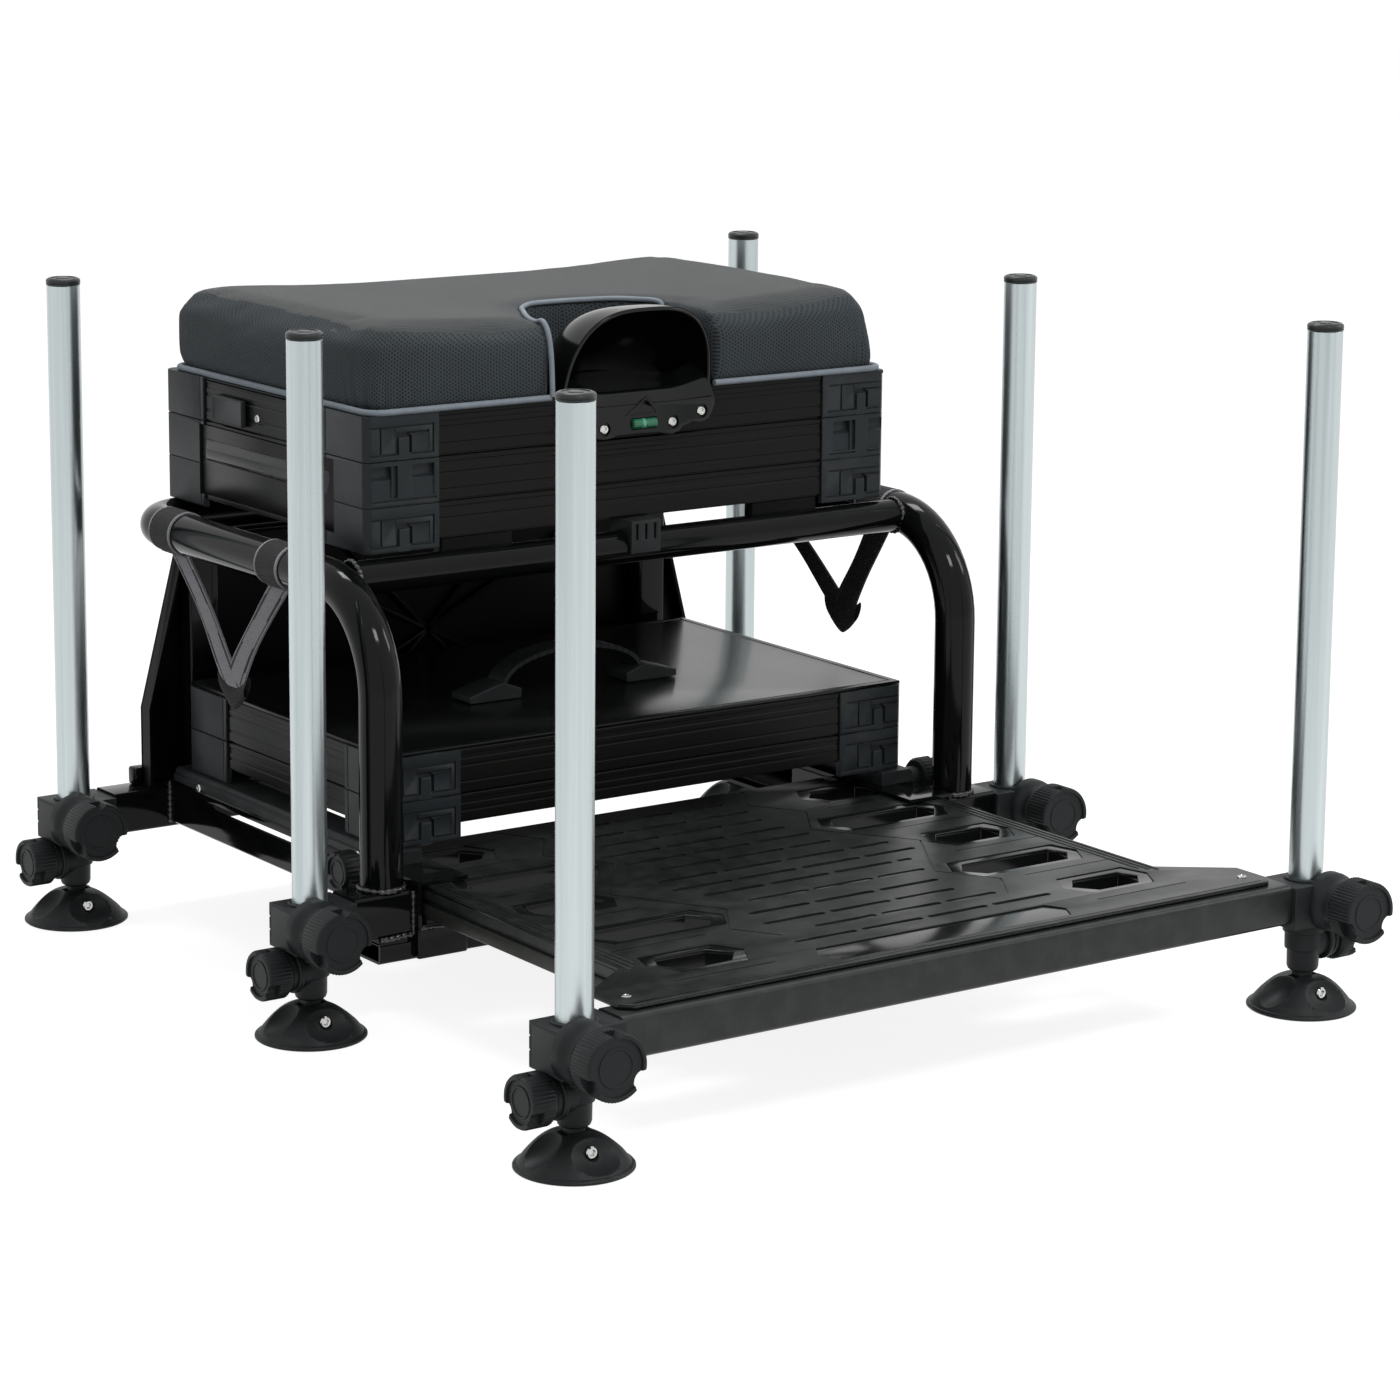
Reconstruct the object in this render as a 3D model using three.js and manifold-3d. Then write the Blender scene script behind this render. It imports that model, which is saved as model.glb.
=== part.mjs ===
import * as THREE from 'three';
import { mergeVertices } from 'three/addons/utils/BufferGeometryUtils.js';
import Module from 'manifold-3d';

const wasm = await Module();
wasm.setup();

// Fishing seat box: six clamped legs carry a welded frame, a slide-out footplate,
// a case of shallow trays and a seat unit with a side drawer.
// Millimetres, +Z up, +Y to the rear, +X to the right seen from the front.
// Height 0 is the ground, and y = 0 is the middle of the two main front legs.

// Running and assembly clearances
const gap = 0.3;
const bite = 1;
const overrun = 4;

// Both tray stacks
const unitHalfX = 232.5;
const unitDepth = 300;
const cornerWidth = 61;
const cornerProud = 1.5;
const cornerChamfer = 5;
const trayWall = 3;
const trayFloor = 2.5;
const tierHeight = 33;

// Base frame of box section. Its rails stand out from the trays.
const railStandOut = 7.5;
const railWidth = 41;
const runnerWidth = 32;
const railWall = 3;
const tubeWall = 2;
const railBottomZ = 70;
const railTopZ = 104.3;
const railOverhang = 22;
const runnerRise = 10.4;
const runnerStart = 25;
const railSlotDrop = 8.6;
const railSlotHeight = 5.4;
const railSlotStartY = 66;
const railSlotEndY = 283;
const stubHalfDepth = 16;
const stubProud = 2;
const lowerBarBottomZ = 47;
const lowerBarHeight = 15.5;
const lowerBarReach = 28;
const railOuterX = unitHalfX + railStandOut;
const railInnerX = railOuterX - railWidth;
const runnerInnerX = railOuterX - runnerWidth;
const runnerTopZ = railTopZ + runnerRise;
const railSlotZ = railTopZ - railSlotDrop;
const lowerBarHalf = railOuterX + lowerBarReach;

// Hooped top frame of round tube. It stands out from the trays too.
const hoopRadius = 15.5;
const hoopStandOut = 24.5;
const hoopZ = 309;
const hoopBend = 75;
const hoopCornerBend = 36;
const hoopSides = 12;
const bendSteps = 6;
const crossRadius = 12.5;
const crossInset = 2.5;
const padInset = 3.5;
const padWidth = 60;
const padDepth = 11;
const clipHalfX = 13;
const clipThick = 3;
const uprightInset = 47;
const uprightWidth = 25;
const uprightDepth = 16;
const hoopX = unitHalfX + hoopStandOut;
const uprightX = hoopX - uprightInset;
const padOuterX = unitHalfX - cornerWidth - padInset;
const padInnerX = padOuterX - padWidth;

// Stance of the six legs, out from the hoops
const legStandOut = 58;
const rearLegY = 364;
const frontLegY = 0;
const plateLegY = -335;
const legSpread = hoopX + legStandOut;
const hoopRearInset = 12;
const hoopRearY = rearLegY - hoopRearInset;
const railFrontY = frontLegY - railOverhang;
const runnerFrontY = frontLegY + runnerStart;

// Leg tube with its plug cap
const legRadius = 12.5;
const legWall = 1.8;
const legTopZ = 493;
const capRadius = 12.9;
const capRim = 3;
const capHeight = 6;
const plugDepth = 10;
const roundSides = 16;
const knobSides = 16;
const barrelSides = 12;
const smallSides = 8;
const notchSides = 6;

// Leg block that grips the tube
const blockBottomZ = 65;
const blockHeight = 31;
const blockHalfDepth = 19;
const blockOut = 22;
const blockIn = 27;
const blockEndStep = 2;
const blockEndRim = 5;
const knobOffset = 7;
const knobLift = 1.5;
const bossRadius = 21;
const bossTipRadius = 17;
const bossLength = 18;

// Leg clamp knob. A notch sits outside the rim by a share of its own size.
const clampKnobRadius = 22.5;
const clampKnobLength = 23;
const knobFaceInset = 4;
const knobFaceDepth = 1.5;
const knobNotchRadius = 5;
const knobVRadius = 2.5;
const notchDepth = 8;
const notchOutShare = 0.333;
const clampStudRadius = 4;
const clampStudLength = 12;
const studClearance = 0.35;

// Foot clamp on the end of the tube
const footClampRadius = 14.5;
const footClampBottomZ = 38;
const footConeZ = 31;
const footNeckRadius = 7;
const footBarrelRadius = 13;
const footBarrelCollar = 15;
const footBarrelLength = 22;
const footCollarLength = 7;
const footBarrelZ = 50;
const tongueHalfThick = 4.5;
const tongueHalfWide = 6.3;

// Foot lock knob
const lockKnobRadius = 18;
const lockKnobLength = 20;
const lockStudRadius = 3;
const lockStudLength = 7;

// Mud foot
const footRadius = 39.6;
const footRim = 2.5;
const footHeight = 24;
const footCrownRadius = 11;
const footDomeShares = [[0.8, 0.36], [0.52, 0.76]];
const footPinZ = 12;
const footNeckZ = 27;
const footPinRadius = 2.5;
const pinClearance = 0.4;
const footPocketOut = 27;
const footPocketLift = 3.5;
const footPocketLong = 20;
const footPocketWide = 11;
const footPocketDeep = 13;
const footTiltRoom = 3.4;

// Rear panel, in from the hoops at its knee and its top
const panelKneeInset = 2;
const panelTopInset = 36;
const panelKneeZ = 160;
const panelTopDrop = 17;
const panelThick = 3;
const panelFlange = 12;
const panelProud = 3;
const panelRibWide = 2.5;
const panelKneeX = hoopX - panelKneeInset;
const panelTopX = hoopX - panelTopInset;
const panelTopZ = hoopZ - panelTopDrop;
const panelBackY = rearLegY + panelProud;

// Footplate: it slides between the rails, and its front bar lies between the plate legs
const deckPlay = 4;
const deckFrontInset = 9;
const deckRearY = 138;
const deckThick = 3.1;
const deckTabReach = 48;
const deckTabDepth = 77;
const deckTabSlope = 36;
const barDepth = 30;
const barHeight = 29.5;
const plateRailWidth = 28;
const plateRailHeight = 20.5;
const windowRows = 5;
const windowPitch = 78;
const windowFirst = 67;
const windowShort = 60;
const windowLong = 98;
const windowMargin = 25;
const windowHalf = 15;
const windowPoint = 12;
const windowHeel = 6;
const deckHalfX = railOuterX - railWall - deckPlay;
const deckTabX = deckHalfX + deckTabReach;
const deckTopZ = railTopZ - railWall - gap;
const barFrontY = plateLegY - barDepth / 2;
const deckFrontY = barFrontY + deckFrontInset;
const deckTabY = deckFrontY + deckTabDepth;
const windowFirstY = deckFrontY + windowFirst;
const windowOuterX = deckHalfX - windowMargin;
const barTopZ = deckTopZ - deckThick - gap;
const barBottomZ = barTopZ - barHeight;
const plateRailTopZ = barTopZ;

// Slide lock knobs of the footplate
const slideLockY = 42;
const slideLockZ = 102;
const slideLockRadius = 15;
const slideLockLength = 17;
const slideStudRadius = 4;
const slideNeckRadius = 9;
const slideNeckLength = 13;

// Seat unit, standing on the hooped frame
const seatFrontY = 59.5;
const seatLift = 0.5;
const cornerFoot = 6;
const shelfRise = 47;
const hingeBack = 5;
const hingePinRadius = 2.2;
const hingeEarRadius = 4.5;
const hingeEarWidth = 30;
const hingeInset = 47.5;
const pinRoom = 0.3;
const seatBottomZ = hoopZ + hoopRadius + seatLift;
const seatRearY = seatFrontY + unitDepth + bite;
const shelfZ = seatBottomZ + shelfRise;
const lidJointZ = seatBottomZ + 2 * tierHeight;
const tierTopZ = lidJointZ + tierHeight;
const seatUnderZ = seatBottomZ + cornerFoot - gap;
const crossY = seatFrontY + crossInset;
const hingeX = unitHalfX - hingeInset;

// Side drawer
const drawerFrontInset = 45.5;
const drawerRearInset = 54.5;
const drawerRise = 10;
const drawerLip = 3;
const drawerDepth = 250;
const drawerWall = 2.5;
const drawerInset = 4;
const pullRise = 26;
const pullHeight = 13;
const pullProud = 7;
const pullMargin = 12;
const pullEdgeShares = [0.5, 0.8];
const drawerFrontY = seatFrontY + drawerFrontInset;
const drawerRearY = seatRearY - drawerRearInset;
const drawerBottomZ = seatBottomZ + drawerRise;
const pullZ = drawerBottomZ + pullRise;

// Lid catch on the left side
const catchWidth = 44;
const catchRearInset = 81.5;
const catchRise = 3;
const catchHeight = 20;
const catchProud = 5;
const catchRearY = seatRearY - catchRearInset;
const catchFrontY = catchRearY - catchWidth;
const catchBottomZ = lidJointZ + catchRise;

// Tray case with its lid and carrying handle
const caseFrontY = 31.5;
const lidThick = 2.5;
const lidMargin = 2;
const handleBack = 123.5;
const handleEndX = 95;
const handleFootX = 48;
const handlePeakX = 64.5;
const handleFootHalf = 13;
const handleFootTip = 5;
const handleFootToe = 7;
const handleFootHigh = 13;
const handleSpringZ = 7;
const handleRise = 35;
const handleStrapThick = 3.5;
const handleStrapHalf = 11;
const handleSteps = 12;
const caseBottomZ = runnerTopZ + gap;
const caseRearY = caseFrontY + unitDepth;
const caseSplitZ = caseBottomZ + tierHeight;
const caseTopZ = caseSplitZ + gap + tierHeight;
const lidTopZ = caseTopZ + gap + lidThick;
const handleY = caseFrontY + handleBack;

// Cushion: crowned, higher at its two ends, its sides tucked in at the foot.
// The shares and powers set how its edges round over and where its side turns into its top.
const cushionMargin = 2.5;
const cushionFrontOver = 1.5;
const cushionRearInset = 4.5;
const cushionHeight = 62;
const cushionHorn = 15;
const cushionHornPower = 2.2;
const cushionSag = 12;
const cushionSagPower = 4;
const cushionRoundShare = 0.45;
const cushionRoundPower = 2.4;
const cushionRimShare = 0.42;
const cushionTuck = 6;
const cushionTuckShare = 0.625;
const cushionCornerShare = 0.16;
const cushionCornerPower = 6;
const cushionStepsX = 18;
const cushionStepsY = 12;
const cushionStepsZ = 3;
const cutHalfX = 76;
const cutDepth = 82;
const cutCorner = 24;
const cutSteps = 5;
const cushionHalfX = unitHalfX - cushionMargin;
const cushionFrontY = seatFrontY - cushionFrontOver;
const cushionRearY = seatRearY - cushionRearInset;

// Pole hood at the front of the seat
const hoodHalfX = 67;
const hoodProud = 12.5;
const hoodDepth = 82;
const hoodHeight = 64.7;
const hoodWall = 4;
const hoodSides = 20;
const hoodRings = 10;
const flangeRise = 2;
const flangeShoulder = 12;
const flangeFlatX = 38;
const flangeThick = 6;
const vialRadius = 3.8;
const vialHalf = 10.5;
const vialX = 2;
const vialRise = 9;
const hoodMouthY = seatFrontY - hoodProud;
const hoodFloorZ = tierTopZ + gap;
const hoodTopZ = hoodFloorZ + hoodHeight;
const flangeBottomZ = lidJointZ + flangeRise;
const flangeShoulderZ = flangeBottomZ + flangeShoulder;
const vialZ = flangeBottomZ + vialRise;

// Carrying straps on the hoops
const wrapWidth = 32;
const wrapThick = 1.8;
const strapThick = 3;
const legHalfWidth = 14;
const sleeveHalf = 23;
const sleeveHigh = 26;
const leftStrapFrontY = 134;
const leftStrapRearY = 297;
const leftStrapLowY = 212;
const leftStrapDrop = 122;
const rightStrapFrontY = 93;
const rightStrapRearY = 257;
const rightStrapLowY = 143;
const rightStrapDrop = 109;

// Worked out from the sizes above
const blockTopZ = blockBottomZ + blockHeight;
const clampKnobZ = blockBottomZ + blockHeight / 2 + knobLift;
const stubTopZ = blockTopZ + stubProud;
const stubEndX = legSpread - blockIn - gap;
const rearTubeFrontY = rearLegY - stubHalfDepth;

const clampKnobSizes = {
  radius: clampKnobRadius,
  length: clampKnobLength,
  studRadius: clampStudRadius,
  studLength: clampStudLength,
  neckRadius: 0,
  neckLength: 0,
};
const lockKnobSizes = {
  radius: lockKnobRadius,
  length: lockKnobLength,
  studRadius: lockStudRadius,
  studLength: lockStudLength,
  neckRadius: 0,
  neckLength: 0,
};
const slideLockSizes = {
  radius: slideLockRadius,
  length: slideLockLength,
  studRadius: slideStudRadius,
  studLength: railWall,
  neckRadius: slideNeckRadius,
  neckLength: slideNeckLength,
};

const palette = {
  frame: { color: 0x15171a, roughness: 0.22, metalness: 0.1 },
  anodised: { color: 0xc3c8cd, roughness: 0.3, metalness: 0.95 },
  nylon: { color: 0x25282b, roughness: 0.6, metalness: 0 },
  extrusion: { color: 0x1a1816, roughness: 0.38, metalness: 0.35 },
  deck: { color: 0x24282a, roughness: 0.45, metalness: 0 },
  panel: { color: 0x141719, roughness: 0.55, metalness: 0 },
  lid: { color: 0x16191b, roughness: 0.5, metalness: 0.3 },
  fabric: { color: 0x1f2226, roughness: 0.9, metalness: 0 },
  gloss: { color: 0x101112, roughness: 0.18, metalness: 0 },
  webbingGrey: { color: 0x8c8d95, roughness: 0.9, metalness: 0 },
  webbingBlack: { color: 0x2c2a2b, roughness: 0.9, metalness: 0 },
  steel: { color: 0x9ea3a8, roughness: 0.3, metalness: 1 },
  vial: { color: 0x2fae62, roughness: 0.15, metalness: 0 },
};

// A closed solid from any geometry, with its faces turned outwards
function solid(geometry) {
  const bare = geometry.clone();
  bare.deleteAttribute('normal');
  bare.deleteAttribute('uv');
  const merged = mergeVertices(bare, 1e-4);
  const position = merged.attributes.position;
  const index = merged.index.array;
  const kept = [];
  for (let i = 0; i < index.length; i += 3) {
    const [a, b, c] = [index[i], index[i + 1], index[i + 2]];
    if (a !== b && b !== c && c !== a) kept.push(a, b, c);
  }
  const [pa, pb, pc] = [new THREE.Vector3(), new THREE.Vector3(), new THREE.Vector3()];
  let volume = 0;
  for (let i = 0; i < kept.length; i += 3) {
    pa.fromBufferAttribute(position, kept[i]);
    pb.fromBufferAttribute(position, kept[i + 1]);
    pc.fromBufferAttribute(position, kept[i + 2]);
    volume += pa.dot(pb.clone().cross(pc));
  }
  if (volume < 0) {
    for (let i = 0; i < kept.length; i += 3) {
      const first = kept[i];
      kept[i] = kept[i + 1];
      kept[i + 1] = first;
    }
  }
  return new wasm.Manifold(new wasm.Mesh({
    numProp: 3,
    vertProperties: new Float32Array(position.array),
    triVerts: new Uint32Array(kept),
  }));
}

function join(first, ...others) {
  return others.reduce((whole, piece) => whole.add(piece), first);
}

function cut(first, ...tools) {
  return tools.reduce((whole, tool) => whole.subtract(tool), first);
}

function box(x0, x1, y0, y1, z0, z1) {
  const low = new THREE.Vector3(Math.min(x0, x1), Math.min(y0, y1), Math.min(z0, z1));
  const high = new THREE.Vector3(Math.max(x0, x1), Math.max(y0, y1), Math.max(z0, z1));
  const size = high.clone().sub(low);
  const geometry = new THREE.BoxGeometry(size.x, size.y, size.z);
  const middle = low.add(high).multiplyScalar(0.5);
  geometry.translate(middle.x, middle.y, middle.z);
  return solid(geometry);
}

// A turned shape: the profile holds [radius, station] pairs along the given direction
function turned(profile, centre, direction, sides) {
  const points = profile.map(([r, s]) => new THREE.Vector2(r, s));
  const geometry = new THREE.LatheGeometry(points, sides);
  const turn = new THREE.Quaternion().setFromUnitVectors(
    new THREE.Vector3(0, 1, 0), direction.clone().normalize());
  geometry.applyQuaternion(turn);
  geometry.translate(centre.x, centre.y, centre.z);
  return solid(geometry);
}

const at = (x, y, z) => new THREE.Vector3(x, y, z);
const up = at(0, 0, 1);
const forward = at(0, -1, 0);

function rod(radius, from, to, sides) {
  const axis = to.clone().sub(from);
  const length = axis.length();
  return turned([[0, 0], [radius, 0], [radius, length], [0, length]], from, axis, sides);
}

// An outline drawn in two row axes and extruded along the third
function prism(outline, axis, from, to) {
  const shape = new THREE.Shape(outline.map(([u, v]) => new THREE.Vector2(u, v)));
  const geometry = new THREE.ExtrudeGeometry(shape, { depth: to - from, bevelEnabled: false });
  const position = geometry.attributes.position;
  for (let i = 0; i < position.count; i += 1) {
    const [u, v, w] = [position.getX(i), position.getY(i), position.getZ(i) + from];
    if (axis === 'x') position.setXYZ(i, w, u, v);
    if (axis === 'y') position.setXYZ(i, u, w, v);
    if (axis === 'z') position.setXYZ(i, u, v, w);
  }
  return solid(geometry);
}

// A polyline whose corners are rounded with arcs
function roundedRoute(corners, steps) {
  const route = [corners[0].point];
  for (let i = 1; i < corners.length - 1; i += 1) {
    const { point, radius } = corners[i];
    const back = corners[i - 1].point.clone().sub(point).normalize();
    const ahead = corners[i + 1].point.clone().sub(point).normalize();
    const half = back.angleTo(ahead) / 2;
    const start = point.clone().addScaledVector(back, radius / Math.tan(half));
    const middle = back.clone().add(ahead).normalize();
    const centre = point.clone().addScaledVector(middle, radius / Math.sin(half));
    const spoke = start.clone().sub(centre);
    const axis = back.clone().cross(ahead).normalize();
    for (let k = 0; k <= steps; k += 1) {
      const turn = -(Math.PI - 2 * half) * k / steps;
      route.push(centre.clone().add(spoke.clone().applyAxisAngle(axis, turn)));
    }
  }
  route.push(corners[corners.length - 1].point);
  return route;
}

class StationCurve extends THREE.Curve {
  constructor(stations) {
    super();
    this.stations = stations;
  }

  getPoint(t) {
    const last = this.stations.length - 1;
    const index = Math.min(last, Math.max(0, Math.round(t * last)));
    return this.stations[index].clone();
  }

  getPointAt(u) {
    return this.getPoint(u);
  }

  getTangentAt(u) {
    const last = this.stations.length - 1;
    const index = Math.round(u * last);
    const ahead = this.stations[Math.min(last, index + 1)];
    const behind = this.stations[Math.max(0, index - 1)];
    const here = this.stations[index];
    const arriving = here.clone().sub(behind).normalize();
    const toward = index < last ? ahead.clone().sub(here).normalize() : arriving;
    const from = index > 0 ? arriving : toward;
    return toward.clone().add(from).normalize();
  }
}

function tubeAlong(stations, radius, sides) {
  const ring = [];
  for (let k = 0; k < sides; k += 1) {
    const angle = 2 * Math.PI * k / sides;
    ring.push(new THREE.Vector2(radius * Math.cos(angle), radius * Math.sin(angle)));
  }
  return solid(new THREE.ExtrudeGeometry(new THREE.Shape(ring), {
    steps: stations.length - 1,
    bevelEnabled: false,
    extrudePath: new StationCurve(stations),
  }));
}

function toGeometry(shape) {
  const mesh = shape.getMesh();
  const geometry = new THREE.BufferGeometry();
  geometry.setAttribute('position', new THREE.BufferAttribute(new Float32Array(mesh.vertProperties), 3));
  geometry.setIndex(new THREE.BufferAttribute(new Uint32Array(mesh.triVerts), 1));
  geometry.computeVertexNormals();
  return geometry;
}

function makeMesh(name, shape, finish) {
  const mesh = new THREE.Mesh(toGeometry(shape), new THREE.MeshStandardMaterial(palette[finish]));
  mesh.name = name;
  return mesh;
}

// Leg parts, drawn round the leg's own centre line. side is -1 on the left and 1 on the right.
function legTube() {
  const bore = legRadius - legWall;
  return turned([
    [0, legTopZ - plugDepth],
    [bore, legTopZ - plugDepth],
    [bore, footClampBottomZ + gap],
    [legRadius, footClampBottomZ + gap],
    [legRadius, legTopZ],
    [capRadius, legTopZ],
    [capRadius, legTopZ + capRim],
    [capRadius / 2, legTopZ + capHeight],
    [0, legTopZ + capHeight],
  ], at(0, 0, 0), up, roundSides);
}

function legBlock(side) {
  const outer = side * blockOut;
  const inner = -side * blockIn;
  const boss = turned([
    [0, blockHalfDepth - bite],
    [bossRadius, blockHalfDepth - bite],
    [bossRadius, blockHalfDepth + bossLength / 2],
    [bossTipRadius, blockHalfDepth + bossLength],
    [0, blockHalfDepth + bossLength],
  ], at(side * knobOffset, 0, clampKnobZ), forward, knobSides);
  const body = box(inner, outer, -blockHalfDepth, blockHalfDepth, blockBottomZ, blockTopZ);
  const endPlate = box(
    outer - side * bite, outer + side * blockEndStep,
    -blockHalfDepth + blockEndRim, blockHalfDepth - blockEndRim,
    blockBottomZ + blockEndRim, blockTopZ - blockEndRim);
  const bore = rod(
    legRadius + gap, at(0, 0, blockBottomZ - overrun), at(0, 0, blockTopZ + overrun), roundSides);
  const studEnd = -blockHalfDepth - bossLength;
  const studHole = rod(
    clampStudRadius + studClearance,
    at(side * knobOffset, studEnd + clampStudLength + gap, clampKnobZ),
    at(side * knobOffset, studEnd - overrun, clampKnobZ), smallSides);
  return cut(join(body, boss, endPlate), bore, studHole);
}

// A knob turned about the direction, with one V and two scallops in its rim.
// Its head starts at the end of its neck, and its stud reaches back past the origin.
function knob({ radius, length, studRadius, studLength, neckRadius, neckLength }, direction) {
  const end = neckLength + length;
  const neck = neckLength > 0 ? [[0, 0], [neckRadius, 0], [neckRadius, neckLength]] : [[0, 0]];
  const head = turned([
    ...neck,
    [radius, neckLength],
    [radius, end - knobFaceDepth],
    [radius - knobFaceDepth, end],
    [radius - knobFaceInset, end],
    [radius - knobFaceInset, end - knobFaceDepth],
    [0, end - knobFaceDepth],
  ], at(0, 0, 0), direction, knobSides);
  const stud = rod(
    studRadius, direction.clone().multiplyScalar(-studLength),
    direction.clone().multiplyScalar(bite), smallSides);
  const notch = (turn, size) => {
    const spoke = up.clone().applyAxisAngle(direction, turn).multiplyScalar(radius + size * notchOutShare);
    const from = spoke.clone().addScaledVector(direction, end - notchDepth);
    const to = spoke.clone().addScaledVector(direction, end + overrun);
    return rod(size, from, to, notchSides);
  };
  const third = 2 * Math.PI / 3;
  const scallops = [notch(third, knobNotchRadius), notch(-third, knobNotchRadius)];
  return cut(join(head, stud), notch(0, knobVRadius), ...scallops);
}

function footClamp(side) {
  const outward = at(side, 0, 0);
  const top = blockBottomZ - 2 * gap;
  const sleeve = turned([
    [0, footNeckZ],
    [footNeckRadius, footNeckZ],
    [footNeckRadius, footConeZ],
    [footClampRadius, footClampBottomZ],
    [footClampRadius, top],
    [0, top],
  ], at(0, 0, 0), up, roundSides);
  const barrel = turned([
    [0, 0],
    [footBarrelRadius, 0],
    [footBarrelRadius, footBarrelLength - footCollarLength],
    [footBarrelCollar, footBarrelLength - footCollarLength],
    [footBarrelCollar, footBarrelLength],
    [0, footBarrelLength],
  ], at(0, 0, footBarrelZ), outward, barrelSides);
  const tongueRound = rod(
    footNeckRadius, at(0, -tongueHalfThick, footPinZ), at(0, tongueHalfThick, footPinZ), barrelSides);
  const tongueStem = box(
    -tongueHalfWide, tongueHalfWide, -tongueHalfThick, tongueHalfThick,
    footPinZ, footNeckZ + bite);
  const socket = rod(legRadius + gap, at(0, 0, footClampBottomZ), at(0, 0, top + overrun), roundSides);
  const studHole = rod(
    lockStudRadius + studClearance,
    at(side * (footBarrelLength - lockStudLength - gap), 0, footBarrelZ),
    at(side * (footBarrelLength + overrun), 0, footBarrelZ), smallSides);
  const pinHole = rod(
    footPinRadius + pinClearance, at(0, -blockOut, footPinZ), at(0, blockOut, footPinZ), smallSides);
  return cut(join(sleeve, barrel, tongueRound, tongueStem), socket, studHole, pinHole);
}

function mudFoot() {
  const dome = turned([
    [0, 0],
    [footRadius, 0],
    [footRadius, footRim],
    ...footDomeShares.map(([r, h]) => [footRadius * r, footRim + (footHeight - footRim) * h]),
    [footCrownRadius, footHeight],
    [0, footHeight],
  ], at(0, 0, 0), up, roundSides);
  const slot = box(
    -footNeckRadius - footTiltRoom, footNeckRadius + footTiltRoom,
    -tongueHalfThick - gap, tongueHalfThick + gap,
    footPinZ - footNeckRadius - pinClearance, footHeight + overrun);
  const pinEnd = tongueHalfThick + bite;
  const pin = rod(footPinRadius, at(0, -pinEnd, footPinZ), at(0, pinEnd, footPinZ), smallSides);
  const pocket = (side) => {
    const ball = new THREE.SphereGeometry(1, knobSides / 2, smallSides / 2);
    ball.scale(footPocketWide, footPocketLong, footPocketDeep);
    ball.translate(side * footPocketOut, 0, footHeight - footPocketLift);
    return solid(ball);
  };
  return join(cut(dome, slot, pocket(-1), pocket(1)), pin);
}

function addLeg(group, name, side, y) {
  const place = new THREE.Group();
  place.position.set(side * legSpread, y, 0);
  const knobFace = -blockHalfDepth - bossLength - gap;
  const clampKnob = makeMesh(
    `${name}_clamp_knob`,
    knob(clampKnobSizes, forward), 'nylon');
  clampKnob.position.set(side * knobOffset, knobFace, clampKnobZ);
  const lockKnob = makeMesh(
    `${name}_foot_lock_knob`,
    knob(lockKnobSizes, at(side, 0, 0)), 'nylon');
  lockKnob.position.set(side * (footBarrelLength + gap), 0, footBarrelZ);
  place.add(
    makeMesh(`${name}_leg_tube`, legTube(), 'anodised'),
    makeMesh(`${name}_leg_block`, legBlock(side), 'nylon'),
    clampKnob,
    makeMesh(`${name}_foot_clamp`, footClamp(side), 'nylon'),
    lockKnob,
    makeMesh(`${name}_mud_foot`, mudFoot(), 'nylon'));
  group.add(place);
}

// The bore of a square tube that runs along X between two faces and opens at its outer ends
function boreAlongX(x0, x1, y0, y1, z0, z1) {
  return box(x0, x1, y0 + tubeWall, y1 - tubeWall, z0 + tubeWall, z1 - tubeWall);
}

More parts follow.
